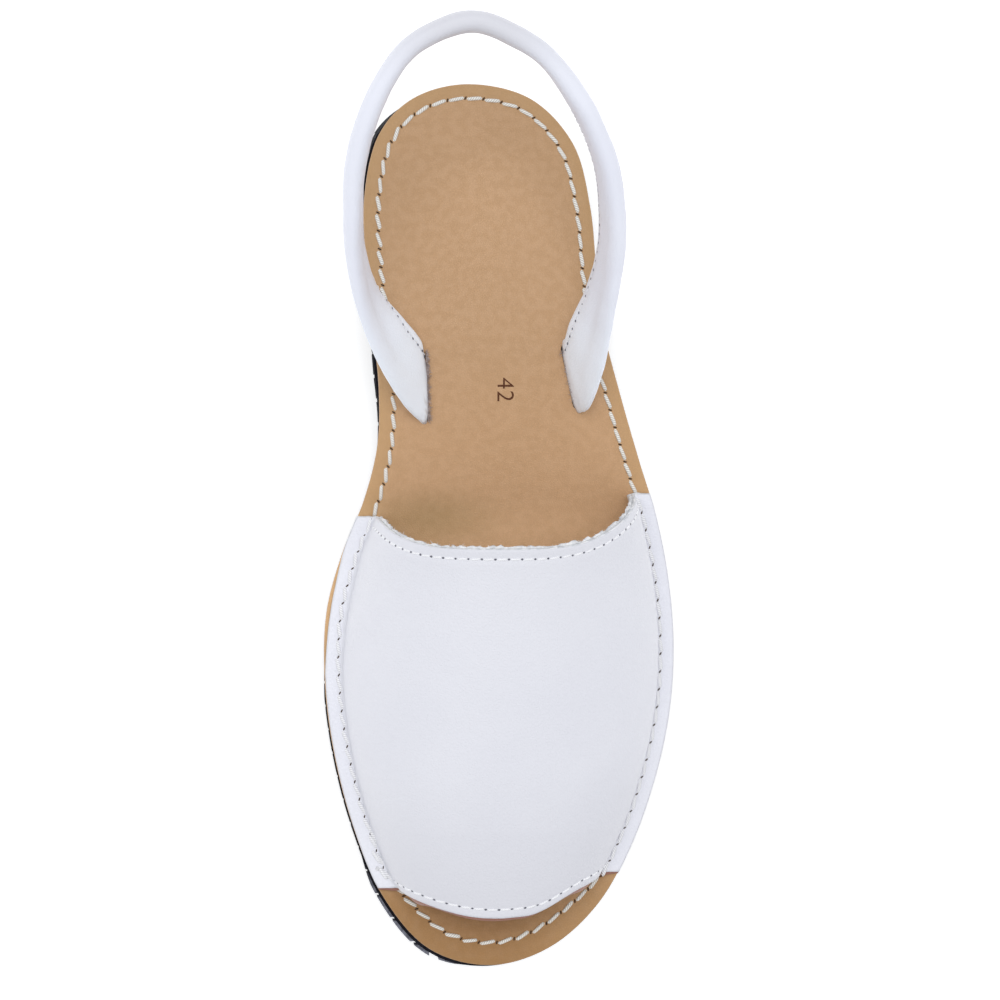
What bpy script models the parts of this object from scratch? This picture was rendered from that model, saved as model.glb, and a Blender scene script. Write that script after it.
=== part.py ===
"""Avarca sandal, left shoe: rubber outsole and heel, leather insole, leather vamp and heel strap.

Everything is modelled in shoe coordinates, in metres: the insole's heel end is at y = 0, its toe is at
y = -INSOLE_LENGTH, +x is the lateral (little toe) side and z = 0 is the ground. The empty named sandal then
carries all the pieces and centres the sandal's box over the origin.
"""

import math
from collections import namedtuple
from functools import lru_cache

import bmesh
import bpy
from mathutils import Vector

# Driving sizes of the last and the sole
INSOLE_LENGTH = 0.280
BALL_WIDTH = 0.1124
INSOLE_THICKNESS = 0.0035
SLAB_THICKNESS = 0.0050
LUG_HEIGHT = 0.0040
HEEL_LIFT = 0.0120
TOE_SPRING = 0.0070
GAP = 0.0003

# Stations of the sole's profile, as shares of the insole's length from the heel
HEEL_SEAT_SHARE = 0.27
BALL_SHARE = 0.56
SPRING_SHARE = 0.80
HEEL_BREAST_SHARE = 0.300

# How far the rubber stands out past the insole's edge
SLAB_PROUD = 0.0003
LUG_PROUD = 0.0005
TOE_PROUD = 0.0009
TOE_SKEW = 0.0008
HEEL_FLARE = 0.0040

# Tread of the outsole and ribs of the heel
LUG_ROWS = 26
LUG_GROOVE = 0.0023
LUG_CLIMB = 0.0016
CHANNEL_WIDTH = 0.0030
LUG_CHANNELS = (-0.13, 0.20)
SMALLEST_LUG = 15e-6
HEEL_RIBS = 5
HEEL_RIB_GROOVE = 0.0007
HEEL_GROOVE_SHARE = 0.3
HEEL_TREAD_GROOVES = 5
HEEL_TREAD_DEPTH = 0.0028
HEEL_TREAD_WIDTH = 0.0026

# Vamp
LEATHER = 0.0020
VAMP_HEIGHT = 0.0560
FLANGE_INSET_MEDIAL = 0.0009
FLANGE_INSET_LATERAL = 0.0002
FLANGE_WIDTH = 0.0056
THROAT_SHARE = 0.524
THROAT_SHARE_DROP_MEDIAL = 0.034
THROAT_SHARE_DROP_LATERAL = 0.060
THROAT_ROUNDNESS_MEDIAL = 4.4
THROAT_ROUNDNESS_LATERAL = 2.7
TOE_EDGE_SHARE = 0.937
TOE_SHARE_DROP_MEDIAL = 0.025
TOE_SHARE_DROP_LATERAL = 0.040
TOE_ROUNDNESS_MEDIAL = 2.2
TOE_ROUNDNESS_LATERAL = 1.9
RIDGE_SKEW = -0.10
ARCH_SQUARENESS_THROAT = 2.10
ARCH_SQUARENESS_TOE = 2.45
DOME_COLUMNS = 26
VAMP_ROWS = 20

# Heel strap and the slits it comes out of
STRAP_HEIGHT = 0.0690
STRAP_THICKNESS = 0.0064
STRAP_ROOT_THICKNESS = 0.0036
SLIT_LENGTH = 0.0240
SLIT_CLEARANCE = 0.0003
SLIT_ALONG_MEDIAL = 0.3400
SLIT_ACROSS_MEDIAL = -0.1700
SLIT_TURN_MEDIAL = math.radians(2.5)
SLIT_ALONG_LATERAL = 0.3300
SLIT_ACROSS_LATERAL = 0.2570
SLIT_TURN_LATERAL = math.radians(13)
STRAP_COLLAR = 0.0012
STRAP_FOOT_GAP = 0.0009
SLIT_SPANS = 2
STRAP_STEPS = 3
STRAP_SIDES = 14
STRAP_SQUARENESS = 2.6

OUTLINE_POINTS = 76
CROSS_CUTS = 30
DENSE_STEPS = 24
MEDIAL, LATERAL = -1, 1

OutlineRow = namedtuple("OutlineRow", "along across")
HeightRow = namedtuple("HeightRow", "along height")
FlangeColumn = namedtuple("FlangeColumn", "inset rise")
StrapRow = namedtuple(
    "StrapRow",
    "low_along low_medial low_lateral low_rise high_along high_medial high_lateral high_rise plump",
)

# The insole's edge, from the middle of the heel by the lateral side to the toe and back by the medial side.
# along is a share of INSOLE_LENGTH, across a share of BALL_WIDTH.
INSOLE_OUTLINE = (
    OutlineRow(0.000, -0.035),
    OutlineRow(0.016, 0.138),
    OutlineRow(0.067, 0.259),
    OutlineRow(0.138, 0.307),
    OutlineRow(0.211, 0.325),
    OutlineRow(0.280, 0.347),
    OutlineRow(0.352, 0.396),
    OutlineRow(0.423, 0.452),
    OutlineRow(0.486, 0.504),
    OutlineRow(0.555, 0.541),
    OutlineRow(0.632, 0.558),
    OutlineRow(0.709, 0.548),
    OutlineRow(0.786, 0.508),
    OutlineRow(0.863, 0.440),
    OutlineRow(0.932, 0.341),
    OutlineRow(0.981, 0.198),
    OutlineRow(1.000, 0.025),
    OutlineRow(0.980, -0.151),
    OutlineRow(0.920, -0.280),
    OutlineRow(0.845, -0.359),
    OutlineRow(0.763, -0.413),
    OutlineRow(0.681, -0.440),
    OutlineRow(0.600, -0.436),
    OutlineRow(0.528, -0.388),
    OutlineRow(0.472, -0.331),
    OutlineRow(0.409, -0.293),
    OutlineRow(0.344, -0.290),
    OutlineRow(0.271, -0.309),
    OutlineRow(0.194, -0.328),
    OutlineRow(0.126, -0.331),
    OutlineRow(0.059, -0.292),
    OutlineRow(0.016, -0.191),
)

# Height of the vamp's ridge above the insole, as shares of VAMP_HEIGHT
VAMP_RIDGE = (
    HeightRow(0.44, 1.10),
    HeightRow(0.525, 1.00),
    HeightRow(0.60, 0.915),
    HeightRow(0.68, 0.815),
    HeightRow(0.76, 0.700),
    HeightRow(0.84, 0.575),
    HeightRow(0.90, 0.465),
    HeightRow(0.96, 0.350),
)

# The flat flange and the small hollow where it turns up into the dome, from the edge inwards.
# Both are shares of FLANGE_WIDTH.
FLANGE_COLUMNS = (
    FlangeColumn(0.00, 0.00),
    FlangeColumn(0.40, 0.00),
    FlangeColumn(0.74, 0.00),
    FlangeColumn(0.92, 0.05),
    FlangeColumn(1.00, 0.19),
)

# The strap's lower and upper edges from just above the slits to the middle of the back.
# along and across are shares as in the outline, rise is a share of STRAP_HEIGHT above the insole at that
# place, and plump a share of the way from STRAP_ROOT_THICKNESS to STRAP_THICKNESS.
STRAP_ROWS = (
    StrapRow(0.289, -0.178, 0.233, 0.050, 0.364, -0.222, 0.301, 0.125, 0.00),
    StrapRow(0.268, -0.228, 0.245, 0.138, 0.321, -0.295, 0.325, 0.300, 0.10),
    StrapRow(0.234, -0.308, 0.282, 0.254, 0.265, -0.352, 0.336, 0.478, 0.30),
    StrapRow(0.195, -0.349, 0.308, 0.377, 0.213, -0.378, 0.346, 0.609, 0.60),
    StrapRow(0.157, -0.366, 0.308, 0.493, 0.169, -0.381, 0.340, 0.710, 0.85),
    StrapRow(0.102, -0.360, 0.280, 0.609, 0.113, -0.374, 0.304, 0.812, 1.00),
    StrapRow(0.047, -0.318, 0.212, 0.710, 0.057, -0.330, 0.232, 0.899, 1.00),
    StrapRow(-0.001, -0.249, 0.129, 0.783, 0.008, -0.256, 0.126, 0.955, 1.00),
    StrapRow(-0.024, -0.165, 0.033, 0.808, -0.018, -0.168, 0.033, 0.985, 1.00),
    StrapRow(-0.035, -0.066, -0.066, 0.820, -0.031, -0.066, -0.066, 1.000, 1.00),
)


def clamp01(value):
    return min(1.0, max(0.0, value))


def catmull_rom(before, start, end, after, t):
    """Point a share t of the way from start to end on the smooth curve through the four."""
    return 0.5 * (
        2.0 * start
        + (end - before) * t
        + (2.0 * before - 5.0 * start + 4.0 * end - after) * t**2
        + (3.0 * start - before - 3.0 * end + after) * t**3
    )


def evenly_spaced(points, count):
    """The given number of points at equal steps round a closed chain of points."""
    ring = [*points, points[0]]
    lengths = [(b - a).length for a, b in zip(ring, ring[1:])]
    step = sum(lengths) / count
    spaced, travelled, target = [], 0.0, 0.0
    for start, end, length in zip(ring, ring[1:], lengths):
        while len(spaced) < count and target <= travelled + length:
            spaced.append(start.lerp(end, (target - travelled) / length))
            target += step
        travelled += length
    return spaced


def height_at(rows, along):
    """Smooth height through a table of HeightRow."""
    last = len(rows) - 2
    k = next((i for i in range(last) if along < rows[i + 1].along), last)
    t = (along - rows[k].along) / (rows[k + 1].along - rows[k].along)
    before, after = rows[max(k - 1, 0)], rows[min(k + 2, len(rows) - 1)]
    return catmull_rom(before.height, rows[k].height, rows[k + 1].height, after.height, t)


@lru_cache(maxsize=None)
def insole_outline(count=OUTLINE_POINTS):
    knots = [Vector((row.across * BALL_WIDTH, -row.along * INSOLE_LENGTH)) for row in INSOLE_OUTLINE]
    dense = []
    for k in range(len(knots)):
        before, start, end, after = (knots[(k + j) % len(knots)] for j in (-1, 0, 1, 2))
        dense += [catmull_rom(before, start, end, after, j / DENSE_STEPS) for j in range(DENSE_STEPS)]
    return evenly_spaced(dense, count)


@lru_cache(maxsize=None)
def offset_outline(distance, count=OUTLINE_POINTS):
    """The insole's edge moved outwards by the distance. The edge runs clockwise, seen from above."""
    edge = insole_outline(count)
    moved = []
    for k, point in enumerate(edge):
        tangent = (edge[(k + 1) % count] - edge[k - 1]).normalized()
        moved.append(point + Vector((-tangent.y, tangent.x)) * distance)
    return moved


def rubber_outline(proud):
    """The sole's edge: proud of the insole's, and at the toe wider and set a little to the medial side."""
    moved = []
    for inner, outer in zip(offset_outline(proud), offset_outline(proud + TOE_PROUD)):
        towards_toe = clamp01((-inner.y / INSOLE_LENGTH - BALL_SHARE) / (1.0 - BALL_SHARE))
        moved.append(inner.lerp(outer, towards_toe) + Vector((MEDIAL * TOE_SKEW * towards_toe, 0.0)))
    return moved


def side_x(outline, y, side):
    """Where the outline crosses y on the medial or lateral side."""
    crossings = []
    for start, end in zip(outline, [*outline[1:], outline[0]]):
        if (start.y - y) * (end.y - y) <= 0.0 and start.y != end.y:
            crossings.append(start.x + (end.x - start.x) * (y - start.y) / (end.y - start.y))
    return side * max(side * x for x in crossings)


def sole_lift(y):
    """How far the sole's underside is above the ground: heel lift, waist, flat ball and toe spring."""
    along = -y / INSOLE_LENGTH
    waist = clamp01((along - HEEL_SEAT_SHARE) / (BALL_SHARE - HEEL_SEAT_SHARE))
    spring = clamp01((along - SPRING_SHARE) / (1.0 - SPRING_SHARE))
    return HEEL_LIFT * (1.0 - waist * waist * (3.0 - 2.0 * waist)) + TOE_SPRING * spring**2


def slab_bottom(y):
    return sole_lift(y) + LUG_HEIGHT


def slab_top(y):
    return slab_bottom(y) + SLAB_THICKNESS


def insole_bottom(y):
    return slab_top(y) + GAP


def insole_top(y):
    return insole_bottom(y) + INSOLE_THICKNESS


def material(name, colour, roughness, metallic=0.0):
    made = bpy.data.materials.new(name)
    made.use_nodes = True
    shader = made.node_tree.nodes["Principled BSDF"]
    shader.inputs["Base Color"].default_value = (*colour, 1.0)
    shader.inputs["Roughness"].default_value = roughness
    shader.inputs["Metallic"].default_value = metallic
    return made


def finished(name, bm, finish, parent, smooth_angle=None):
    """An object made of the bmesh, with its material, under the empty that places the sandal."""
    bmesh.ops.recalc_face_normals(bm, faces=bm.faces)
    mesh = bpy.data.meshes.new(name)
    bm.to_mesh(mesh)
    bm.free()
    if finish:
        mesh.materials.append(finish)
    if smooth_angle:
        mesh.shade_smooth()
        mesh.set_sharp_from_angle(angle=math.radians(smooth_angle))
    made = bpy.data.objects.new(name, mesh)
    bpy.context.scene.collection.objects.link(made)
    made.parent = parent
    return made


def boolean(target, operand, operation):
    """A live Boolean on the target. The operand is only a helper, so it is hidden."""
    operand.hide_render = True
    operand.display_type = "WIRE"
    modifier = target.modifiers.new(operation.title(), "BOOLEAN")
    modifier.operation = operation
    modifier.solver = "EXACT"
    modifier.object = operand


def cut_across(bm, point, normal, clear_outer=False):
    geometry = bm.verts[:] + bm.edges[:] + bm.faces[:]
    bmesh.ops.bisect_plane(bm, geom=geometry, plane_co=point, plane_no=normal, clear_outer=clear_outer)


def raise_sheet(bm, low, high):
    """Turns a flat sheet into a solid of plane faces between two height functions of y."""
    bmesh.ops.triangulate(bm, faces=bm.faces)
    sheet = bm.verts[:]
    raised = bmesh.ops.extrude_face_region(bm, geom=bm.faces[:])["geom"]
    for vert in sheet:
        vert.co.z = low(vert.co.y)
    for vert in raised:
        if isinstance(vert, bmesh.types.BMVert):
            vert.co.z = high(vert.co.y)


def skinned(rings):
    """A closed solid through rings of points, with a cap at each end."""
    bm = bmesh.new()
    loops = [[bm.verts.new(point) for point in ring] for ring in rings]
    for loop, following in zip(loops, loops[1:]):
        for j in range(len(loop)):
            bm.faces.new((loop[j - 1], loop[j], following[j], following[j - 1]))
    bm.faces.new(loops[0])
    bm.faces.new(loops[-1])
    return bm


def plank(outline, low, high):
    """A solid of the outline's plan, cut across so that its faces follow the heights along the shoe."""
    bm = bmesh.new()
    bm.faces.new([bm.verts.new((point.x, point.y, 0.0)) for point in outline])
    for k in range(1, CROSS_CUTS):
        cut_across(bm, (0.0, -INSOLE_LENGTH * k / CROSS_CUTS, 0.0), (0.0, 1.0, 0.0))
    raise_sheet(bm, low, high)
    return bm


def make_insole(parent):
    leather = material("tan_leather", (0.50, 0.30, 0.16), 0.60)
    insole = finished("insole", plank(offset_outline(0.0), insole_bottom, insole_top), leather, parent)
    for side in (MEDIAL, LATERAL):
        boolean(insole, make_slit_cutter(side, parent), "DIFFERENCE")
    return insole


def make_outsole(parent):
    rubber = material("black_rubber", (0.035, 0.035, 0.04), 0.75)
    slab = plank(rubber_outline(SLAB_PROUD), slab_bottom, slab_top)
    outsole = finished("outsole", slab, rubber, parent)
    boolean(outsole, make_lugs(parent), "UNION")
    return outsole


def make_lugs(parent):
    """Rows of tread lugs across the sole, ahead of the heel, parted by two channels along it."""
    outline = rubber_outline(SLAB_PROUD + LUG_PROUD)
    first = -HEEL_BREAST_SHARE * INSOLE_LENGTH - LUG_GROOVE
    pitch = (min(point.y for point in outline) - LUG_GROOVE - first) / LUG_ROWS
    bm = bmesh.new()
    bm.faces.new([bm.verts.new((point.x, point.y, 0.0)) for point in outline])
    for row in range(LUG_ROWS):
        start = first + row * pitch
        for y in (start, start + pitch + LUG_GROOVE):
            cut_across(bm, (0.0, y, 0.0), (0.0, 1.0, 0.0))
    for share in LUG_CHANNELS:
        for edge in (-0.5, 0.5):
            x = share * BALL_WIDTH + edge * CHANNEL_WIDTH
            cut_across(bm, (x, 0.0, 0.0), (1.0, 0.0, 0.0))
    spare = [face for face in bm.faces if not is_lug(face, first, pitch)]
    bmesh.ops.delete(bm, geom=spare, context="FACES")
    raise_sheet(bm, sole_lift, lambda y: slab_bottom(y) + LUG_CLIMB)
    return finished("outsole_lugs", bm, None, parent)


def is_lug(face, first, pitch):
    """True for a patch of the sole's plan that is neither groove, channel, heel nor too small to hold."""
    centre = face.calc_center_bounds()
    place = (centre.y - first) / pitch
    in_groove = (place - math.floor(place)) * -pitch > -pitch - LUG_GROOVE
    in_channel = any(
        abs(centre.x - share * BALL_WIDTH) < 0.5 * CHANNEL_WIDTH for share in LUG_CHANNELS
    )
    lasting = face.calc_area() > SMALLEST_LUG
    return centre.y < first and lasting and not in_groove and not in_channel


def make_heel(parent):
    """Heel lift: rings of the sole's outline, stepped in and out as ribs, cut off at the breast."""
    rubber = material("heel_rubber", (0.04, 0.04, 0.045), 0.80)
    steps = []
    for rib in range(HEEL_RIBS):
        low, high = rib / HEEL_RIBS, (rib + 1) / HEEL_RIBS
        groove = high - HEEL_GROOVE_SHARE / HEEL_RIBS
        steps += [(low, 0.0), (groove, 0.0), (groove, HEEL_RIB_GROOVE), (high, HEEL_RIB_GROOVE)]
    steps[-2:] = [(1.0, 0.0)]
    bm = skinned([heel_ring(share, inset) for share, inset in steps])
    cut_across(bm, (0.0, -HEEL_BREAST_SHARE * INSOLE_LENGTH, 0.0), (0.0, -1.0, 0.0), clear_outer=True)
    bmesh.ops.holes_fill(bm, edges=[edge for edge in bm.edges if edge.is_boundary])
    heel = finished("heel", bm, rubber, parent)
    boolean(heel, make_heel_grooves(parent), "DIFFERENCE")
    return heel


def heel_ring(share, inset):
    """The heel's edge at a share of its height. It flares towards the ground, most at the back."""
    ring = []
    proud = SLAB_PROUD - inset
    for upright, flared in zip(offset_outline(proud), offset_outline(proud + HEEL_FLARE)):
        towards_back = clamp01(1.0 + upright.y / (HEEL_BREAST_SHARE * INSOLE_LENGTH))
        point = upright.lerp(flared, (1.0 - share) * towards_back)
        ring.append((point.x, point.y, share * (slab_bottom(point.y) - GAP)))
    return ring


def make_heel_grooves(parent):
    """Bars that cut the grooves across the heel's tread."""
    bm = bmesh.new()
    pitch = HEEL_BREAST_SHARE * INSOLE_LENGTH / (HEEL_TREAD_GROOVES + 1)
    for groove in range(HEEL_TREAD_GROOVES):
        bar = bmesh.ops.create_cube(bm, size=1.0)["verts"]
        bmesh.ops.scale(bm, vec=(2.0 * BALL_WIDTH, HEEL_TREAD_WIDTH, 2.0 * HEEL_TREAD_DEPTH), verts=bar)
        bmesh.ops.translate(bm, vec=(0.0, -(groove + 1) * pitch, 0.0), verts=bar)
    return finished("heel_grooves", bm, None, parent)


def throat_along(q):
    """Where the vamp's throat edge runs, for q from -1 at the medial crease to 1 at the lateral one."""
    if q < 0.0:
        return THROAT_SHARE - THROAT_SHARE_DROP_MEDIAL * (-q) ** THROAT_ROUNDNESS_MEDIAL
    return THROAT_SHARE - THROAT_SHARE_DROP_LATERAL * q**THROAT_ROUNDNESS_LATERAL


def toe_edge_along(q):
    if q < 0.0:
        return TOE_EDGE_SHARE - TOE_SHARE_DROP_MEDIAL * (-q) ** TOE_ROUNDNESS_MEDIAL
    return TOE_EDGE_SHARE - TOE_SHARE_DROP_LATERAL * q**TOE_ROUNDNESS_LATERAL


def flange_inset(side):
    return FLANGE_INSET_MEDIAL if side == MEDIAL else FLANGE_INSET_LATERAL


def flange_x(side, y, inset):
    """The place of a line on the flange that lies the inset inwards of its edge."""
    return side_x(offset_outline(-flange_inset(side) - inset), y, side)


def vamp_columns():
    """Across positions of the vamp's grid: flange columns and dome angles, medial to lateral."""
    flange = [("flange", column) for column in FLANGE_COLUMNS]
    dome = [("dome", math.pi * k / DOME_COLUMNS) for k in range(1, DOME_COLUMNS)]
    return (
        [(kind, MEDIAL, value) for kind, value in flange]
        + [(kind, 0, value) for kind, value in dome]
        + [(kind, LATERAL, value) for kind, value in reversed(flange)]
    )


def vamp_point(column, share):
    """A point of the vamp's outer face; share runs from the throat edge, 0, to the toe edge, 1."""
    kind, side, value = column
    if kind == "flange":
        along = throat_along(side) + (toe_edge_along(side) - throat_along(side)) * share
        y = -along * INSOLE_LENGTH
        x = flange_x(side, y, value.inset * FLANGE_WIDTH)
        return Vector((x, y, insole_top(y) + GAP + LEATHER + value.rise * FLANGE_WIDTH))
    squareness = ARCH_SQUARENESS_THROAT + (ARCH_SQUARENESS_TOE - ARCH_SQUARENESS_THROAT) * share
    cosine = -math.cos(value)
    out = math.copysign(abs(cosine) ** (2.0 / squareness), cosine)
    up = math.sin(value) ** (2.0 / squareness)
    q = RIDGE_SKEW + out * (1.0 + RIDGE_SKEW if out < 0.0 else 1.0 - RIDGE_SKEW)
    along = throat_along(q) + (toe_edge_along(q) - throat_along(q)) * share
    y = -along * INSOLE_LENGTH
    medial, lateral = (flange_x(s, y, FLANGE_WIDTH) for s in (MEDIAL, LATERAL))
    x = 0.5 * (medial + lateral) + 0.5 * (lateral - medial) * q
    ridge = VAMP_HEIGHT * height_at(VAMP_RIDGE, along)
    return Vector((x, y, insole_top(y) + GAP + LEATHER + (ridge - GAP - LEATHER) * up))


def make_upper(parent):
    """The vamp: one hollow dome of leather with a flat flange along each side."""
    leather = material("white_leather", (0.80, 0.80, 0.84), 0.45)
    columns = vamp_columns()
    across = len(columns) - 1
    bm = bmesh.new()
    bmesh.ops.create_grid(bm, x_segments=across, y_segments=VAMP_ROWS, size=1.0)
    for vert in bm.verts:
        column = columns[round((vert.co.x + 1.0) / 2.0 * across)]
        vert.co = vamp_point(column, (1.0 - vert.co.y) / 2.0)
    upper = finished("upper", bm, leather, parent, smooth_angle=40)
    wall = upper.modifiers.new("Wall", "SOLIDIFY")
    wall.thickness = LEATHER
    wall.offset = -1.0
    wall.use_even_offset = True
    wall.use_quality_normals = True
    return upper


def slit_frame(side):
    """Middle and lengthwise direction, towards the toe, of the slit on one side of the insole."""
    if side == MEDIAL:
        along, across, turn = SLIT_ALONG_MEDIAL, SLIT_ACROSS_MEDIAL, SLIT_TURN_MEDIAL
    else:
        along, across, turn = SLIT_ALONG_LATERAL, SLIT_ACROSS_LATERAL, SLIT_TURN_LATERAL
    middle = Vector((across * BALL_WIDTH, -along * INSOLE_LENGTH, 0.0))
    return middle, Vector((math.sin(turn), -math.cos(turn), 0.0))


def make_slit_cutter(side, parent):
    """The strap's root section with its clearance, as a prism through the insole."""
    middle, forward = slit_frame(side)
    half_length = 0.5 * SLIT_LENGTH + SLIT_CLEARANCE
    half_width = 0.5 * STRAP_ROOT_THICKNESS + SLIT_CLEARANCE
    sideways = Vector((-forward.y, forward.x, 0.0))
    bm = bmesh.new()
    ring = [
        bm.verts.new(middle + forward * along * half_length + sideways * out * half_width)
        for along, out in section_shape()
    ]
    base = bm.faces.new(ring)
    prism = bmesh.ops.extrude_face_region(bm, geom=[base])["geom"]
    top = [vert for vert in prism if isinstance(vert, bmesh.types.BMVert)]
    bmesh.ops.translate(bm, vec=(0.0, 0.0, slab_bottom(middle.y)), verts=ring)
    bmesh.ops.translate(bm, vec=(0.0, 0.0, insole_top(middle.y) + INSOLE_THICKNESS), verts=top)
    name = "slit_medial" if side == MEDIAL else "slit_lateral"
    return finished(name, bm, None, parent)


def section_shape():
    """The strap's section as shares of its half width and half thickness: a rounded oblong."""
    shape = []
    for k in range(STRAP_SIDES):
        angle = 2.0 * math.pi * k / STRAP_SIDES
        along, out = math.cos(angle), math.sin(angle)
        power = 2.0 / STRAP_SQUARENESS
        shape.append((math.copysign(abs(along) ** power, along), math.copysign(abs(out) ** power, out)))
    return shape


def strap_station(low, high, plump):
    return low, high, STRAP_ROOT_THICKNESS + (STRAP_THICKNESS - STRAP_ROOT_THICKNESS) * plump


def strap_side(side):
    """The strap's lower edge, upper edge and thickness at each row, from the sole to the back."""
    middle, forward = slit_frame(side)
    low, high = (middle + forward * end * 0.5 * SLIT_LENGTH for end in (-1, 1))
    stations = []
    for surface, rise in ((slab_top, STRAP_FOOT_GAP), (insole_top, 0.0), (insole_top, STRAP_COLLAR)):
        edges = [Vector((edge.x, edge.y, surface(edge.y) + rise)) for edge in (low, high)]
        stations.append(strap_station(*edges, 0.0))
    for row in STRAP_ROWS:
        low_y, high_y = -row.low_along * INSOLE_LENGTH, -row.high_along * INSOLE_LENGTH
        low_x = row.low_medial if side == MEDIAL else row.low_lateral
        high_x = row.high_medial if side == MEDIAL else row.high_lateral
        low = Vector((low_x * BALL_WIDTH, low_y, insole_top(low_y) + row.low_rise * STRAP_HEIGHT))
        high = Vector((high_x * BALL_WIDTH, high_y, insole_top(high_y) + row.high_rise * STRAP_HEIGHT))
        stations.append(strap_station(low, high, row.plump))
    return stations


def strap_stations():
    """Edges and thickness at close steps along the whole strap, medial root to lateral root."""
    knots = strap_side(MEDIAL) + strap_side(LATERAL)[-2::-1]
    last = len(knots) - 1
    stations = []
    for k in range(last):
        rows = [knots[min(max(k + j, 0), last)] for j in (-1, 0, 1, 2)]
        steps = 1 if k < SLIT_SPANS or k >= last - SLIT_SPANS else STRAP_STEPS
        for step in range(steps):
            stations.append([catmull_rom(*values, step / steps) for values in zip(*rows)])
    stations.append(list(knots[-1]))
    return stations


def make_heel_strap(parent):
    """A flat band out of each slit that fills out to a padded oval round the heel."""
    leather = material("strap_leather", (0.78, 0.78, 0.83), 0.45)
    stations = strap_stations()
    centres = [(low + high) / 2.0 for low, high, _ in stations]
    rings = []
    for k, (low, high, thickness) in enumerate(stations):
        run = centres[min(k + 1, len(centres) - 1)] - centres[max(k - 1, 0)]
        width = (high - low) / 2.0
        inward = run.cross(width).normalized() * thickness / 2.0
        rings.append([centres[k] + width * up + inward * out for up, out in section_shape()])
    return finished("heel_strap", skinned(rings), leather, parent, smooth_angle=60)


def centre_over_origin(parent, pieces):
    """Moves the empty so that the middle of the sandal's box is over the origin."""
    bpy.context.view_layer.update()
    graph = bpy.context.evaluated_depsgraph_get()
    corners = []
    for piece in pieces:
        shown = piece.evaluated_get(graph)
        corners += [shown.matrix_world @ vert.co for vert in shown.data.vertices]
    for axis in (0, 1):
        values = [corner[axis] for corner in corners]
        parent.location[axis] = -0.5 * (min(values) + max(values))
    bpy.context.view_layer.update()


def main():
    for old in list(bpy.data.objects):
        bpy.data.objects.remove(old)
    sandal = bpy.data.objects.new("sandal", None)
    bpy.context.scene.collection.objects.link(sandal)
    pieces = [
        make_outsole(sandal),
        make_heel(sandal),
        make_insole(sandal),
        make_upper(sandal),
        make_heel_strap(sandal),
    ]
    centre_over_origin(sandal, pieces)


main()
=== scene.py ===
"""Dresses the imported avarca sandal: grained vamp, padded strap, tan insole, thread and lugged rubber sole.

Lengths are metres. The toe points along -Y, the outer side of the foot is +X and the floor is z = 0.
"""

import logging
import math
import random
from collections.abc import Callable, Iterable, Sequence
from dataclasses import dataclass, field
from enum import Enum

import bmesh
import bpy
from mathutils import Matrix, Vector, noise


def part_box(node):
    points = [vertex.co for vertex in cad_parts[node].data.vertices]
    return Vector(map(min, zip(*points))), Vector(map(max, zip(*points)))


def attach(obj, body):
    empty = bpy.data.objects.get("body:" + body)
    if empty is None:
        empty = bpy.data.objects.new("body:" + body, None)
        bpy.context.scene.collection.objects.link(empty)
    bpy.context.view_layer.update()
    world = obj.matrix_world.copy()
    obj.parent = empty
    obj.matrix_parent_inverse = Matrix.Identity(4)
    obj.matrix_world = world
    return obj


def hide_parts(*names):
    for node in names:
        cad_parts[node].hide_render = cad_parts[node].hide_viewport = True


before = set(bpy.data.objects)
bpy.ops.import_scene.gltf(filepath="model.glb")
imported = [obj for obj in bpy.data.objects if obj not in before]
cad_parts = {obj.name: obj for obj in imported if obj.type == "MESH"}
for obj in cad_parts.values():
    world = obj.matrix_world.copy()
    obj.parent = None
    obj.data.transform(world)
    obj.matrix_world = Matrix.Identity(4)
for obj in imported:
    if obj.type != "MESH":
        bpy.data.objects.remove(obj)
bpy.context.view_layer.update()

LOG = logging.getLogger("sandal")
Colour = tuple[float, float, float]
Point = tuple[float, float]
Spot = tuple[Vector, Vector, Vector]
Quantity = Vector | float
BMesh = bmesh.types.BMesh
Tree = bpy.types.NodeTree
Socket = bpy.types.NodeSocket
Object = bpy.types.Object
Material = bpy.types.Material
UP = Vector((0.0, 0.0, 1.0))


class Side(Enum):
    """A side of the left foot, as the sign of its X."""

    MEDIAL = -1
    LATERAL = 1


class Edge(Enum):
    """The vamp's two free edges, as the share of its length where each lies."""

    THROAT = 0.0
    TOE = 1.0


def clamp01(value: float) -> float:
    """Returns the value held between 0 and 1."""
    return min(1.0, max(0.0, value))


def smooth_step(low: float, high: float, value: float) -> float:
    """Returns 0 below low, 1 above high and a smooth rise between."""
    share = clamp01((value - low) / (high - low))
    return share * share * (3.0 - 2.0 * share)


def bell(value: float, middle: float, width: float) -> float:
    """Returns a soft bump that is 1 at the middle and fades out over the width."""
    return math.exp(-(((value - middle) / width) ** 2))


def waves(point: Vector, *pairs: Point) -> float:
    """Returns the height of soft random waves, given as pairs of frequency and depth."""
    return sum(depth * noise.noise(point * frequency) for frequency, depth in pairs)


def catmull_rom(before: Quantity, start: Quantity, end: Quantity, after: Quantity, t: float) -> Quantity:
    """Returns the value a share t of the way from start to end on the smooth curve through the four."""
    return 0.5 * (
        2.0 * start
        + (end - before) * t
        + (2.0 * before - 5.0 * start + 4.0 * end - after) * t**2
        + (3.0 * start - before - 3.0 * end + after) * t**3
    )


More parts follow.
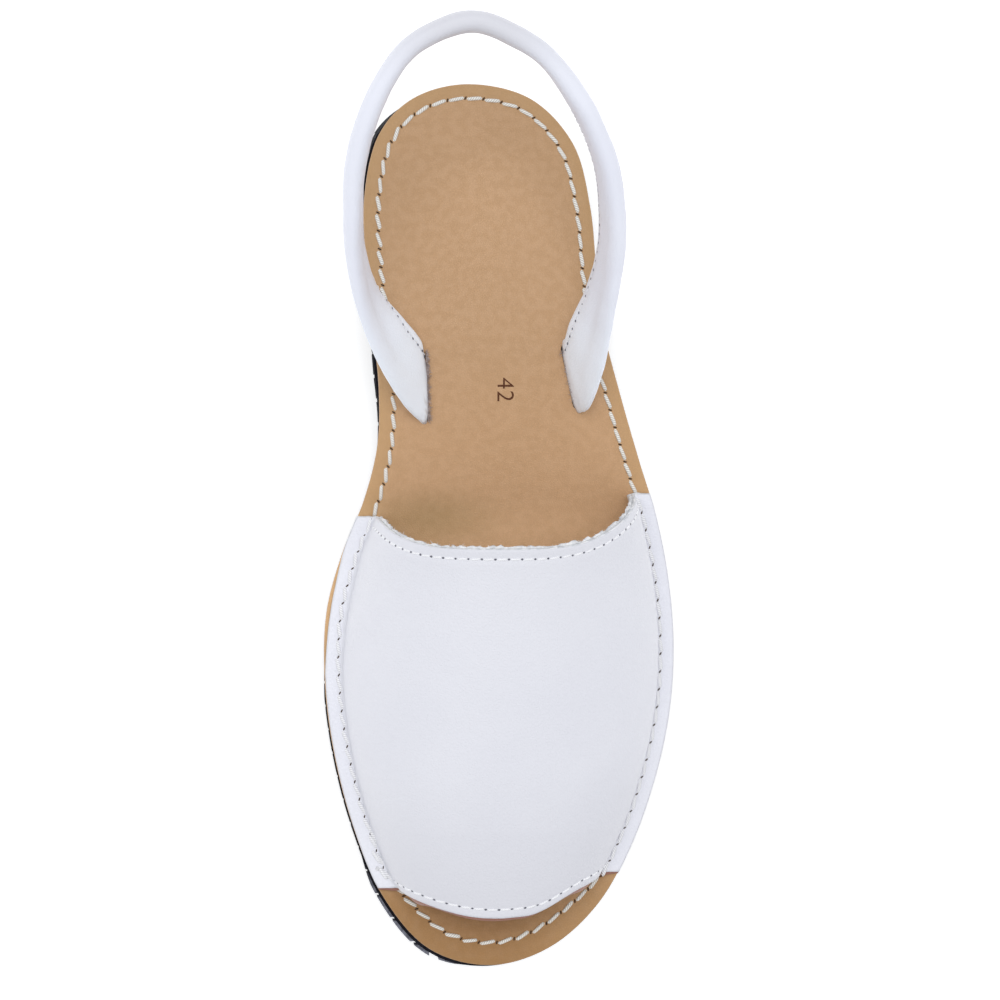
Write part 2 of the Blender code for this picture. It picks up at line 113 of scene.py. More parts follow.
def interpolate(value: float, table: Sequence[Point]) -> float:
    """Looks a value up in a table of rising pairs, with straight lines between.

    Args:
        value: the place to look up.
        table: pairs of place and result, in rising places.

    Returns:
        The result, held at the table's ends.
    """
    low, high = 0, len(table) - 1
    if value <= table[low][0]:
        return table[low][1]
    if value >= table[high][0]:
        return table[high][1]
    while high - low > 1:
        middle = (low + high) // 2
        low, high = (middle, high) if table[middle][0] <= value else (low, middle)
    (x0, y0), (x1, y1) = table[low], table[high]
    return y0 + (y1 - y0) * (value - x0) / (x1 - x0)


def rows(kind: type, *table: tuple[float, ...]) -> tuple:
    """Returns a table's rows as objects of their kind, whose fields name its columns."""
    return tuple(kind(*row) for row in table)


def walk(points: Sequence[Vector], pitch: float, closed: bool = False) -> list[Vector]:
    """Steps along a chain of points.

    Args:
        points: the chain.
        pitch: the wanted length of a step, changed a little so that whole steps fill the chain.
        closed: whether the chain runs back to its first point.

    Returns:
        The points at the ends of the steps, without a repeat of the first on a closed chain.
    """
    chain = [*points, points[0]] if closed else list(points)
    lengths = [(b - a).length for a, b in zip(chain, chain[1:])]
    steps = max(1, round(sum(lengths) / pitch))
    step = sum(lengths) / steps
    placed, travelled, target = [], 0.0, 0.0
    for start, end, length in zip(chain, chain[1:], lengths):
        while len(placed) < steps and target <= travelled + length:
            placed.append(start.lerp(end, (target - travelled) / length if length else 0.0))
            target += step
        travelled += length
    return placed if closed else [*placed, chain[-1]]


def nearest(points: Sequence[Vector], spot: Vector) -> int:
    """Returns the number of the point that lies nearest to the spot."""
    return min(range(len(points)), key=lambda k: (points[k] - spot).length_squared)


def spots_along(line: Sequence[Vector], normals: Sequence[Vector], pitch: float) -> list[Spot]:
    """Returns start, end and normal of equal stitches along a line that has a normal at each point."""
    steps = walk(line, pitch)
    pairs = list(zip(steps, steps[1:]))
    return [(start, end, normals[nearest(line, (start + end) / 2.0)]) for start, end in pairs]


# Shape of the last


@dataclass(frozen=True)
class OutlineRow:
    """A point of the insole's edge, as shares of its length from the heel and of the ball's width."""

    along: float
    across: float


@dataclass
class Last:
    """The shape that every piece of the sandal follows: the insole's edge and the sole's side profile."""

    insole_length: float = 0.280
    ball_width: float = 0.1124
    insole_thickness: float = 0.0035
    slab_thickness: float = 0.0050
    lug_height: float = 0.0040
    heel_lift: float = 0.0120
    toe_spring: float = 0.0070
    gap: float = 0.0003
    heel_seat_share: float = 0.27
    ball_share: float = 0.56
    spring_share: float = 0.80
    outline: tuple[OutlineRow, ...] = rows(
        OutlineRow,
        (0.000, -0.035), (0.016, 0.138), (0.067, 0.259), (0.138, 0.307),
        (0.211, 0.325), (0.280, 0.347), (0.352, 0.396), (0.423, 0.452),
        (0.486, 0.504), (0.555, 0.541), (0.632, 0.558), (0.709, 0.548),
        (0.786, 0.508), (0.863, 0.440), (0.932, 0.341), (0.981, 0.198),
        (1.000, 0.025), (0.980, -0.151), (0.920, -0.280), (0.845, -0.359),
        (0.763, -0.413), (0.681, -0.440), (0.600, -0.436), (0.528, -0.388),
        (0.472, -0.331), (0.409, -0.293), (0.344, -0.290), (0.271, -0.309),
        (0.194, -0.328), (0.126, -0.331), (0.059, -0.292), (0.016, -0.191),
    )
    edge_points: int = 420
    shift: Vector = field(default_factory=lambda: Vector((0.0, 0.0)))

    def __post_init__(self) -> None:
        """Works out the insole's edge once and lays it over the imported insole."""
        self._edges: dict[float, list[Vector]] = {}
        self._sides: dict[tuple[Side, float], list[Point]] = {}
        knots = [self.place(row.along, row.across) for row in self.outline]
        dense: list[Vector] = []
        for k in range(len(knots)):
            four = [knots[(k + j) % len(knots)] for j in (-1, 0, 1, 2)]
            dense += [catmull_rom(*four, j / 24) for j in range(24)]
        low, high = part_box("insole")
        middle = Vector(((low[0] + high[0]) / 2.0, (low[1] + high[1]) / 2.0))
        own = Vector([(min(p[i] for p in dense) + max(p[i] for p in dense)) / 2.0 for i in (0, 1)])
        self.shift = middle - own
        length = sum((b - a).length for a, b in zip(dense, [*dense[1:], dense[0]]))
        ring = walk([point + self.shift for point in dense], length / self.edge_points, closed=True)
        self._edge = ring[::-1]
        self._normals = []
        for k, point in enumerate(self._edge):
            run = self._edge[(k + 1) % len(ring)] - self._edge[k - 1]
            self._normals.append(Vector((run.y, -run.x)).normalized())

    def place(self, along: float, across: float) -> Vector:
        """Returns the plan point at shares of the insole's length and of the ball's width."""
        return Vector((across * self.ball_width, -along * self.insole_length)) + self.shift

    def along(self, y: float) -> float:
        """Returns the share of the insole's length, from the heel, at which y lies."""
        return (self.shift.y - y) / self.insole_length

    def edge(self, proud: float | Callable[[float, Vector], float]) -> list[Vector]:
        """Moves the insole's edge outwards.

        Args:
            proud: how far, as a length or a function of the share along the insole and the outward normal.

        Returns:
            Points anticlockwise, seen from above.
        """
        reach = proud if callable(proud) else lambda along, normal: proud
        return [
            point + normal * reach(self.along(point.y), normal)
            for point, normal in zip(self._edge, self._normals)
        ]

    def side_x(self, side: Side, y: float, proud: float) -> float:
        """Finds where the edge, moved outwards, crosses y.

        Args:
            side: which side of the foot.
            y: the place along the shoe.
            proud: how far outside the insole's edge.

        Returns:
            The x of the crossing.
        """
        key = (side, round(proud, 7))
        if key not in self._sides:
            ring = self.edge(proud)
            heel = max(range(len(ring)), key=lambda k: ring[k].y)
            ring = ring[heel:] + ring[:heel]
            toe = min(range(len(ring)), key=lambda k: ring[k].y)
            chain = ring[: toe + 1] if side is Side.MEDIAL else ring[toe:]
            self._sides[key] = sorted((point.y, point.x) for point in chain)
        return interpolate(y, self._sides[key])

    def sole_lift(self, y: float) -> float:
        """Returns how far the sole's underside is above the floor at y."""
        along = self.along(y)
        waist = smooth_step(self.heel_seat_share, self.ball_share, along)
        spring = clamp01((along - self.spring_share) / (1.0 - self.spring_share))
        return self.heel_lift * (1.0 - waist) + self.toe_spring * spring**2

    def slab_bottom(self, y: float) -> float:
        """Returns the height of the rubber slab's underside."""
        return self.sole_lift(y) + self.lug_height

    def slab_top(self, y: float) -> float:
        """Returns the height of the rubber slab's top."""
        return self.slab_bottom(y) + self.slab_thickness

    def insole_bottom(self, y: float) -> float:
        """Returns the height of the insole's underside."""
        return self.slab_top(y) + self.gap

    def insole_top(self, y: float) -> float:
        """Returns the height of the insole's top."""
        return self.insole_bottom(y) + self.insole_thickness

    def seam_inset(self, along: float) -> float:
        """Returns how far inside the insole's edge the thick thread runs."""
        return 0.0045 + 0.0024 * smooth_step(0.90, 0.97, along)

    def seam(self) -> list[Vector]:
        """Returns the plan points of the thick thread's line, right round the insole."""
        return self.edge(lambda along, normal: -self.seam_inset(along))


# Mesh helpers


def as_mesh(bm: BMesh, name: str) -> bpy.types.Mesh:
    """Returns a mesh made of the bmesh, which is freed."""
    mesh = bpy.data.meshes.new(name)
    bm.to_mesh(mesh)
    bm.free()
    return mesh


def smooth(mesh: bpy.types.Mesh, sharp_angle: float) -> None:
    """Shades the mesh smoothly, but for edges that turn by more degrees than the angle."""
    mesh.shade_smooth()
    mesh.set_sharp_from_angle(angle=math.radians(sharp_angle))


def add_object(name: str, data: bpy.types.ID) -> Object:
    """Returns a new object of the scene that shows the data."""
    made = bpy.data.objects.new(name, data)
    bpy.context.scene.collection.objects.link(made)
    return made


def add_piece(
    name: str,
    bm: BMesh,
    finishes: Sequence[Material],
    stands_for: str | None = None,
    sharp_angle: float = 40.0,
) -> Object:
    """Turns a bmesh into a piece of the sandal that rides on its one body.

    Args:
        name: the piece's name.
        bm: its mesh, in place; it is freed here.
        finishes: the materials of its faces.
        stands_for: the CAD node that the piece is shown instead of.
        sharp_angle: edges that turn by more degrees than this stay sharp.

    Returns:
        The new object.
    """
    mesh = as_mesh(bm, name)
    for finish in finishes:
        mesh.materials.append(finish)
    smooth(mesh, sharp_angle)
    piece = add_object(name, mesh)
    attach(piece, "root")
    if stands_for:
        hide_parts(stands_for)
    LOG.info("%s: %d faces", name, len(mesh.polygons))
    return piece


def cut_across(
    bm: BMesh, point: Sequence[float], normal: Sequence[float] = (0.0, 1.0, 0.0), clear: bool = False
) -> None:
    """Cuts the whole mesh with a plane, square to the shoe's length where no normal is given.

    Args:
        bm: the mesh.
        point: a point of the plane.
        normal: its normal.
        clear: whether what lies on the normal's side goes.
    """
    geometry = bm.verts[:] + bm.edges[:] + bm.faces[:]
    bmesh.ops.bisect_plane(bm, geom=geometry, plane_co=point, plane_no=normal, clear_outer=clear)


def plan_sheet(points: Sequence[Vector]) -> BMesh:
    """Returns one flat face with the points as its corners, anticlockwise."""
    bm = bmesh.new()
    bmesh.ops.create_circle(bm, cap_ends=True, segments=len(points), radius=1.0)
    (face,) = bm.faces
    for vert, point in zip(face.verts, points):
        vert.co = (point.x, point.y, 0.0)
    if face.normal.z < 0.0:
        bmesh.ops.reverse_faces(bm, faces=[face])
    bm.normal_update()
    return bm


def raise_sheet(bm: BMesh, low: Callable[[float], float], high: Callable[[float], float]) -> None:
    """Turns a flat sheet into a closed solid between two height functions of y.

    Args:
        bm: the sheet.
        low: height of the underside at y.
        high: height of the top at y.
    """
    bottom = set(bm.verts)
    bmesh.ops.extrude_face_region(bm, geom=bm.faces[:])
    for vert in bm.verts:
        vert.co.z += low(vert.co.y) if vert in bottom else high(vert.co.y)
    bmesh.ops.recalc_face_normals(bm, faces=bm.faces)


def rim_edges(bm: BMesh, top: bool, angle: float = 50.0) -> list[bmesh.types.BMEdge]:
    """Finds the sharp edges round a slab's top or its underside.

    Args:
        bm: the closed slab.
        top: whether the top's rim is wanted.
        angle: how many degrees its faces must turn there.

    Returns:
        The edges.
    """
    bm.normal_update()
    found = []
    for edge in bm.edges:
        if len(edge.link_faces) != 2 or edge.calc_face_angle(0.0) < math.radians(angle):
            continue
        heights = [face.normal.z for face in edge.link_faces]
        if (max(heights) > 0.7) if top else (min(heights) < -0.7):
            found.append(edge)
    return found


def soften(bm: BMesh, edges: list[bmesh.types.BMEdge], width: float, segments: int = 2) -> None:
    """Rounds the edges off by the width."""
    shape = {"segments": segments, "profile": 0.5, "affect": "EDGES", "clamp_overlap": True}
    bmesh.ops.bevel(bm, geom=edges, offset=width, material=-1, **shape)


def carve(piece: Object, bm: BMesh, name: str, sharp_angle: float) -> None:
    """Cuts a mesh out of a piece.

    Args:
        piece: the piece.
        bm: closed bars to cut with; it is freed here.
        name: a name for the bars while they last.
        sharp_angle: the piece's edges that turn by more degrees than this stay sharp.
    """
    bars = add_object(name, as_mesh(bm, name))
    cut = piece.modifiers.new("Cut", "BOOLEAN")
    cut.operation = "DIFFERENCE"
    cut.solver = "EXACT"
    cut.object = bars
    shown = piece.evaluated_get(bpy.context.evaluated_depsgraph_get())
    piece.data = bpy.data.meshes.new_from_object(shown)
    piece.modifiers.clear()
    smooth(piece.data, sharp_angle)
    bpy.data.objects.remove(bars)


def stand_on(point: Vector, normal: Vector, run: Vector) -> Matrix:
    """Builds the placing of a small shape on a surface.

    Args:
        point: where its origin goes.
        normal: the surface's normal, for its Z.
        run: the direction that its X should follow.

    Returns:
        The matrix of that place.
    """
    up = normal.normalized()
    forward = (run - up * run.dot(up)).normalized()
    sideways = up.cross(forward)
    turn = Matrix((forward, sideways, up)).transposed().to_4x4()
    return Matrix.Translation(point) @ turn


def add_fibre(
    bm: BMesh, root: Vector, lean: Vector, normal: Vector, length: float, chance: random.Random
) -> None:
    """Adds one bent, tapered fibre.

    Args:
        bm: the mesh that takes it.
        root: where it leaves the leather.
        lean: its direction.
        normal: the leather's normal.
        length: its length.
        chance: the seeded source of its bend.
    """
    radius = chance.uniform(0.00007, 0.00014)
    made = bmesh.ops.create_circle(bm, cap_ends=True, segments=3, radius=radius)["verts"]
    bmesh.ops.transform(bm, matrix=stand_on(root, lean, normal), verts=made)
    (face,) = {face for vert in made for face in vert.link_faces}
    bend = Vector([chance.uniform(-1.0, 1.0) for _ in range(3)]) * length * 0.22
    steps = 4
    for step in range(steps):
        (face,) = bmesh.ops.extrude_discrete_faces(bm, faces=[face])["faces"]
        bmesh.ops.translate(bm, vec=lean * length / steps + bend * (step / steps), verts=face.verts)
        around = Matrix.Translation(-face.calc_center_median())
        bmesh.ops.scale(bm, vec=(0.82, 0.82, 0.82), verts=face.verts, space=around)


# Node helpers


def add_node(tree: Tree, kind: str, inputs: dict | None = None, **settings: object) -> bpy.types.Node:
    """Adds a node.

    Args:
        tree: where it goes.
        kind: its type, such as ShaderNodeMath.
        inputs: values or sockets for its inputs, by name or number.
        settings: its other properties.

    Returns:
        The node.
    """
    node = tree.nodes.new(kind)
    for name, value in settings.items():
        setattr(node, name, value)
    for key, value in (inputs or {}).items():
        if isinstance(value, Socket):
            tree.links.new(value, node.inputs[key])
        else:
            node.inputs[key].default_value = value
    return node


def math_node(tree: Tree, operation: str, *values: float | Socket, clamp: bool = False) -> Socket:
    """Returns the result of a math node on values or sockets."""
    node = add_node(tree, "ShaderNodeMath", dict(enumerate(values)), operation=operation, use_clamp=clamp)
    return node.outputs[0]


def vector_node(tree: Tree, operation: str, *values: object) -> Socket:
    """Returns the result of a vector math node on vectors or sockets; a length is a number."""
    node = add_node(tree, "ShaderNodeVectorMath", dict(enumerate(values)), operation=operation)
    return node.outputs["Value" if operation == "LENGTH" else "Vector"]


def noise_node(
    tree: Tree, vector: Socket, scale: Socket, detail: float, roughness: float = 0.5
) -> bpy.types.bpy_prop_collection:
    """Returns the outputs of a noise texture: its value first, and its Color."""
    inputs = {"Vector": vector, "Scale": scale, "Detail": detail, "Roughness": roughness}
    return add_node(tree, "ShaderNodeTexNoise", inputs).outputs


def remap(tree: Tree, value: Socket, low: float, high: float, to_low: float, to_high: float) -> Socket:
    """Returns a socket with the value mapped smoothly from one range to another."""
    inputs = {"Value": value, "From Min": low, "From Max": high, "To Min": to_low, "To Max": to_high}
    return add_node(tree, "ShaderNodeMapRange", inputs, interpolation_type="SMOOTHSTEP").outputs["Result"]


def blend(tree: Tree, share: Socket, low: Colour | Socket, high: Colour | Socket) -> Socket:
    """Returns the colour a share of the way from low to high, which may be colours or sockets."""
    node = add_node(tree, "ShaderNodeMix", {0: share}, data_type="RGBA")
    for number, colour in ((6, low), (7, high)):
        if isinstance(colour, Socket):
            tree.links.new(colour, node.inputs[number])
        else:
            node.inputs[number].default_value = (*colour, 1.0)
    return node.outputs[2]


def deepen(tree: Tree, share: Socket, colour: Socket, factor: Colour) -> Socket:
    """Returns the colour multiplied by the factor, as far as the share says."""
    inputs = {0: share, 6: colour, 7: (*factor, 1.0)}
    return add_node(tree, "ShaderNodeMix", inputs, data_type="RGBA", blend_type="MULTIPLY").outputs[2]


def open_group(name: str, inputs: dict[str, float], outputs: Iterable[str]) -> tuple:
    """Starts a node group of values.

    Args:
        name: the group's name.
        inputs: its number inputs with their defaults; a Vector input comes first.
        outputs: its number outputs.

    Returns:
        The tree, its input node and its output node.
    """
    tree = bpy.data.node_groups.new(name, "ShaderNodeTree")
    tree.interface.new_socket("Vector", in_out="INPUT", socket_type="NodeSocketVector")
    for socket, default in inputs.items():
        made = tree.interface.new_socket(socket, in_out="INPUT", socket_type="NodeSocketFloat")
        made.default_value = default
    for socket in outputs:
        tree.interface.new_socket(socket, in_out="OUTPUT", socket_type="NodeSocketFloat")
    return tree, tree.nodes.new("NodeGroupInput"), tree.nodes.new("NodeGroupOutput")


def build_grain() -> Tree:
    """Returns the group for a leather's grain: pebbles with fine pores between and long soft creases."""
    tree, given, result = open_group(
        "leather_grain", {"Scale": 900.0, "Pores": 0.5, "Creases": 0.3}, ("Height", "Pebbles")
    )
    vector, scale = given.outputs["Vector"], given.outputs["Scale"]
    warp = noise_node(tree, vector, scale, 2.0)["Color"]
    moved = add_node(tree, "ShaderNodeVectorMath", {0: warp, "Scale": 0.0006}, operation="SCALE")
    warped = vector_node(tree, "ADD", vector, moved.outputs[0])
    inputs = {"Vector": warped, "Scale": scale, "Randomness": 0.9}
    cells = add_node(tree, "ShaderNodeTexVoronoi", inputs, feature="DISTANCE_TO_EDGE")
    pebbles = remap(tree, cells.outputs["Distance"], 0.0, 0.28, 0.0, 1.0)
    pores = noise_node(tree, vector, math_node(tree, "MULTIPLY", scale, 3.1), 3.0)[0]
    creases = noise_node(tree, warped, math_node(tree, "MULTIPLY", scale, 0.16), 4.0)[0]
    ridged = math_node(tree, "ABSOLUTE", math_node(tree, "SUBTRACT", creases, 0.5))
    crease = math_node(tree, "MULTIPLY", remap(tree, ridged, 0.0, 0.08, 1.0, 0.0), given.outputs["Creases"])
    pore = math_node(tree, "MULTIPLY", pores, given.outputs["Pores"])
    height = math_node(tree, "SUBTRACT", math_node(tree, "ADD", pebbles, pore), crease)
    tree.links.new(height, result.inputs["Height"])
    tree.links.new(pebbles, result.inputs["Pebbles"])
    return tree


def build_mottle() -> Tree:
    """Returns the group for uneven colour: broad clouds and finer flecks."""
    tree, given, result = open_group("mottle", {"Scale": 30.0}, ("Clouds", "Flecks"))
    vector, scale = given.outputs["Vector"], given.outputs["Scale"]
    broad = noise_node(tree, vector, scale, 3.0)[0]
    fine = noise_node(tree, vector, math_node(tree, "MULTIPLY", scale, 14.0), 4.0)[0]
    tree.links.new(remap(tree, broad, 0.32, 0.68, 0.0, 1.0), result.inputs["Clouds"])
    tree.links.new(remap(tree, fine, 0.35, 0.65, 0.0, 1.0), result.inputs["Flecks"])
    return tree


def build_nap() -> Tree:
    """Returns the group for a raw, fibrous surface such as suede or a cut edge."""
    tree, given, result = open_group("raw_nap", {"Scale": 2200.0}, ("Height", "Tone"))
    vector, scale = given.outputs["Vector"], given.outputs["Scale"]
    strands = noise_node(tree, vector, scale, 5.0, roughness=0.7)[0]
    tufts = noise_node(tree, vector, math_node(tree, "MULTIPLY", scale, 0.22), 2.0)[0]
    tree.links.new(math_node(tree, "ADD", strands, tufts), result.inputs["Height"])
    tree.links.new(remap(tree, tufts, 0.35, 0.65, 0.0, 1.0), result.inputs["Tone"])
    return tree


@dataclass(frozen=True)
class Groups:
    """The shader effects that more than one finish uses."""

    grain: Tree
    mottle: Tree
    nap: Tree


class Surface:
    """A material under way: its Principled shader and the shared effects placed in it."""

    def __init__(self, name: str, groups: Groups) -> None:
        """Starts the material with an Object coordinate."""
        self.material = bpy.data.materials.new(name)
        self.material.use_nodes = True
        self.tree = self.material.node_tree
        self.groups = groups
        self.shader = self.tree.nodes["Principled BSDF"]
        self.coordinates = add_node(self.tree, "ShaderNodeTexCoord")
        self.object_vector = self.coordinates.outputs["Object"]

    def effect(self, group: Tree, **values: float) -> bpy.types.Node:
        """Returns a placed effect that reads Object coordinates, with its own values."""
        inputs = {"Vector": self.object_vector, **values}
        return add_node(self.tree, "ShaderNodeGroup", inputs, node_tree=group)

    def attribute(self, name: str) -> Socket:
        """Returns the mesh attribute's value."""
        return add_node(self.tree, "ShaderNodeAttribute", attribute_name=name).outputs["Fac"]

    def bump(
        self, height: Socket, distance: float, strength: float = 1.0, under: Socket | None = None
    ) -> Socket:
        """Returns the normal of a relief of that depth, over another relief where one is given."""
        inputs = {"Height": height, "Distance": distance, "Strength": strength}
        if under is not None:
            inputs["Normal"] = under
        return add_node(self.tree, "ShaderNodeBump", inputs).outputs["Normal"]

    def finish(
        self, colour: Socket, normal: Socket | None, roughness: Socket | float, **sockets: float
    ) -> Material:
        """Connects colour, normal and roughness and sets the shader's plain values.

        Args:
            colour: its socket.
            normal: a socket, or None.
            roughness: a number or a socket.
            sockets: plain values by the shader's socket names, with _ for a blank.

        Returns:
            The finished material.
        """
        plain = {name.replace("_", " "): value for name, value in sockets.items()}
        for name, value in {"Base Color": colour, "Roughness": roughness, "Normal": normal, **plain}.items():
            if isinstance(value, Socket):
                self.tree.links.new(value, self.shader.inputs[name])
            elif value is not None:
                self.shader.inputs[name].default_value = value
        return self.material


# Finishes


@dataclass(frozen=True)
class WhiteLeather:
    """Smooth white full-grain leather with a fine pebble."""

    name: str = "white_grained_leather"
    light: Colour = (0.775, 0.780, 0.835)
    dark: Colour = (0.745, 0.750, 0.810)
    seam_tone: Colour = (0.76, 0.765, 0.81)
    raw_tone: Colour = (0.40, 0.34, 0.32)
    # Painted light for the strap's roots, which lie in shade.
    pale_tone: Colour = (0.880, 0.925, 1.000)
    shade_tone: Colour = (0.620, 0.620, 0.665)
    grain_scale: float = 880.0
    grain_depth: float = 0.00006
    roughness: float = 0.46

    def build(self, groups: Groups) -> Material:
        """Returns the material."""
        surface = Surface(self.name, groups)
        grain = surface.effect(groups.grain, Scale=self.grain_scale, Pores=0.5, Creases=0.5)
        mottle = surface.effect(groups.mottle, Scale=22.0)
        colour = blend(surface.tree, mottle.outputs["Clouds"], self.light, self.dark)
        # The pale tone is painted light on the strap's roots, the shade tone is painted shade and the seam
        # tone is painted shade in the seams' grooves; the raw tone is the cut edge's own brown.
        for name in ("pale", "shade", "seam", "raw"):
            colour = blend(surface.tree, surface.attribute(name), colour, getattr(self, f"{name}_tone"))
        swell = surface.bump(mottle.outputs["Clouds"], 0.0004, 0.35)
        normal = surface.bump(grain.outputs["Height"], self.grain_depth, 0.8, swell)
        dull = self.roughness + 0.12
        roughness = remap(surface.tree, grain.outputs["Pebbles"], 0.0, 1.0, dull, self.roughness)
        return surface.finish(colour, normal, roughness, Specular_IOR_Level=0.42, Sheen_Weight=0.05)


@dataclass(frozen=True)
class Tint:
    """A deeper or paler part of the footbed: what it multiplies the colour by, and the Y where it fades."""

    factor: Colour
    low_y: float
    high_y: float

    def share(self, tree: Tree, y: Socket, above: bool) -> Socket:
        """Returns the tint's strength at Y, which is full above the fade or else below it."""
        return remap(tree, y, self.low_y, self.high_y, *((0.0, 1.0) if above else (1.0, 0.0)))


@dataclass(frozen=True)
class TanLeather:
    """Smooth tan insole leather, yellower along its edge, deeper at heel and toe, with painted light in
    front of the throat.
    """

    name: str = "tan_insole_leather"
    light: Colour = (0.575, 0.350, 0.190)
    dark: Colour = (0.525, 0.315, 0.165)
    margin: Colour = (0.530, 0.322, 0.156)
    behind_throat: Tint = Tint((0.90, 0.90, 0.89), 0.0200, 0.0540)
    # Painted light, which lifts the vamp's shade off the insole in front of the throat.
    painted_throat_light: Tint = Tint((1.22, 1.25, 1.28), -0.0110, 0.0060)
    throat_depth: tuple[float, float] = (-0.050, -0.033)
    toe: Tint = Tint((0.66, 0.58, 0.44), -0.1315, -0.1007)
    toe_fade: tuple[float, float] = (0.0, 0.03)
    smudge: Colour = (0.68, 0.70, 0.60)
    smudge_place: tuple[float, float, float] = (-0.0235, -0.0030, 0.0)
    smudge_reach: tuple[float, float, float] = (0.0170, 0.0068, 1.0)
    grain_scale: float = 1500.0
    roughness: float = 0.52

    def build(self, groups: Groups) -> Material:
        """Returns the material."""
        surface = Surface(self.name, groups)
        tree = surface.tree
        grain = surface.effect(groups.grain, Scale=self.grain_scale, Pores=0.9, Creases=0.25)
        mottle = surface.effect(groups.mottle, Scale=26.0)
        clouds = math_node(tree, "MULTIPLY", mottle.outputs["Clouds"], 0.40)
        flecks = math_node(tree, "MULTIPLY", mottle.outputs["Flecks"], 0.60)
        colour = blend(tree, math_node(tree, "ADD", clouds, flecks), self.light, self.dark)
        colour = blend(tree, surface.attribute("margin"), colour, self.margin)
        place = add_node(tree, "ShaderNodeSeparateXYZ", {0: surface.object_vector})
        x, y = place.outputs["X"], place.outputs["Y"]
        behind = self.behind_throat.share(tree, y, above=True)
        # Painted light in front of the throat, fading out deeper under the vamp.
        lit = remap(tree, y, *self.throat_depth, 0.0, 1.0)
        under = math_node(tree, "MULTIPLY", self.painted_throat_light.share(tree, y, above=False), lit)
        medial = remap(tree, x, *self.toe_fade, 1.0, 0.6)
        toe = math_node(tree, "MULTIPLY", self.toe.share(tree, y, above=False), medial)
        for share, tint in ((behind, self.behind_throat), (under, self.painted_throat_light), (toe, self.toe)):
            colour = deepen(tree, share, colour, tint.factor)
        colour = deepen(tree, self.smudge_share(surface), colour, self.smudge)
        pitted = remap(tree, grain.outputs["Pebbles"], 0.0, 0.6, 0.93, 1.0)
        shade = add_node(tree, "ShaderNodeMix", {0: 1.0, 6: colour}, data_type="RGBA", blend_type="MULTIPLY")
        grey = add_node(tree, "ShaderNodeCombineColor", {"Red": pitted, "Green": pitted, "Blue": pitted})
        tree.links.new(grey.outputs[0], shade.inputs[7])
        normal = surface.bump(grain.outputs["Height"], 0.00004, 0.7)
        roughness = remap(tree, mottle.outputs["Flecks"], 0.0, 1.0, self.roughness, self.roughness + 0.10)
        return surface.finish(shade.outputs[2], normal, roughness, Specular_IOR_Level=0.35)

    def smudge_share(self, surface: Surface) -> Socket:
        """Returns the strength of the smudge that the foot's ball left behind the throat."""
        tree = surface.tree
        offset = vector_node(tree, "SUBTRACT", surface.object_vector, self.smudge_place)
        flat = vector_node(tree, "MULTIPLY", offset, (1.0, 1.0, 0.0))
        scaled = vector_node(tree, "DIVIDE", flat, self.smudge_reach)
        return remap(tree, vector_node(tree, "LENGTH", scaled), 0.0, 1.9, 0.80, 0.0)


@dataclass(frozen=True)
class RawLeather:
    """Leather that was cut or split: fibrous and dull."""

    name: str
    light: Colour
    dark: Colour
    scale: float = 2200.0
    depth: float = 0.00012
    glue: Colour = (0.33, 0.16, 0.12)

    def build(self, groups: Groups) -> Material:
        """Returns the material."""
        surface = Surface(self.name, groups)
        nap = surface.effect(groups.nap, Scale=self.scale)
        colour = blend(surface.tree, nap.outputs["Tone"], self.light, self.dark)
        colour = blend(surface.tree, surface.attribute("glue"), colour, self.glue)
        normal = surface.bump(nap.outputs["Height"], self.depth, 0.9)
        return surface.finish(colour, normal, 0.92, Sheen_Weight=0.25, Specular_IOR_Level=0.2)


@dataclass(frozen=True)
class TwistedThread:
    """Thread of a few plies, which wind round it along its own UV."""

    name: str
    light: Colour
    # Painted shade for the valleys between the plies.
    dark: Colour
    plies: float = 3.0
    turns: float = 2.2
    depth: float = 0.00010

    def build(self, groups: Groups) -> Material:
        """Returns the material."""
        surface = Surface(self.name, groups)
        tree = surface.tree
        split = add_node(tree, "ShaderNodeSeparateXYZ", {0: surface.coordinates.outputs["UV"]})
        round_it = math_node(tree, "MULTIPLY", split.outputs["X"], self.plies)
        along_it = math_node(tree, "MULTIPLY", split.outputs["Y"], self.turns * self.plies)
        phase = math_node(tree, "MULTIPLY", math_node(tree, "ADD", round_it, along_it), 2.0 * math.pi)
        wave = math_node(tree, "SINE", phase)
        plies = remap(tree, wave, -1.0, 0.4, 0.0, 1.0)
        nap = surface.effect(groups.nap, Scale=3000.0)
        height = math_node(tree, "ADD", plies, math_node(tree, "MULTIPLY", nap.outputs["Height"], 0.25))
        # The dark colour in the valleys between the plies is painted shade.
        colour = blend(tree, plies, self.dark, self.light)
        return surface.finish(
            colour, surface.bump(height, self.depth, 1.0), 0.62, Specular_IOR_Level=0.35, Sheen_Weight=0.15
        )


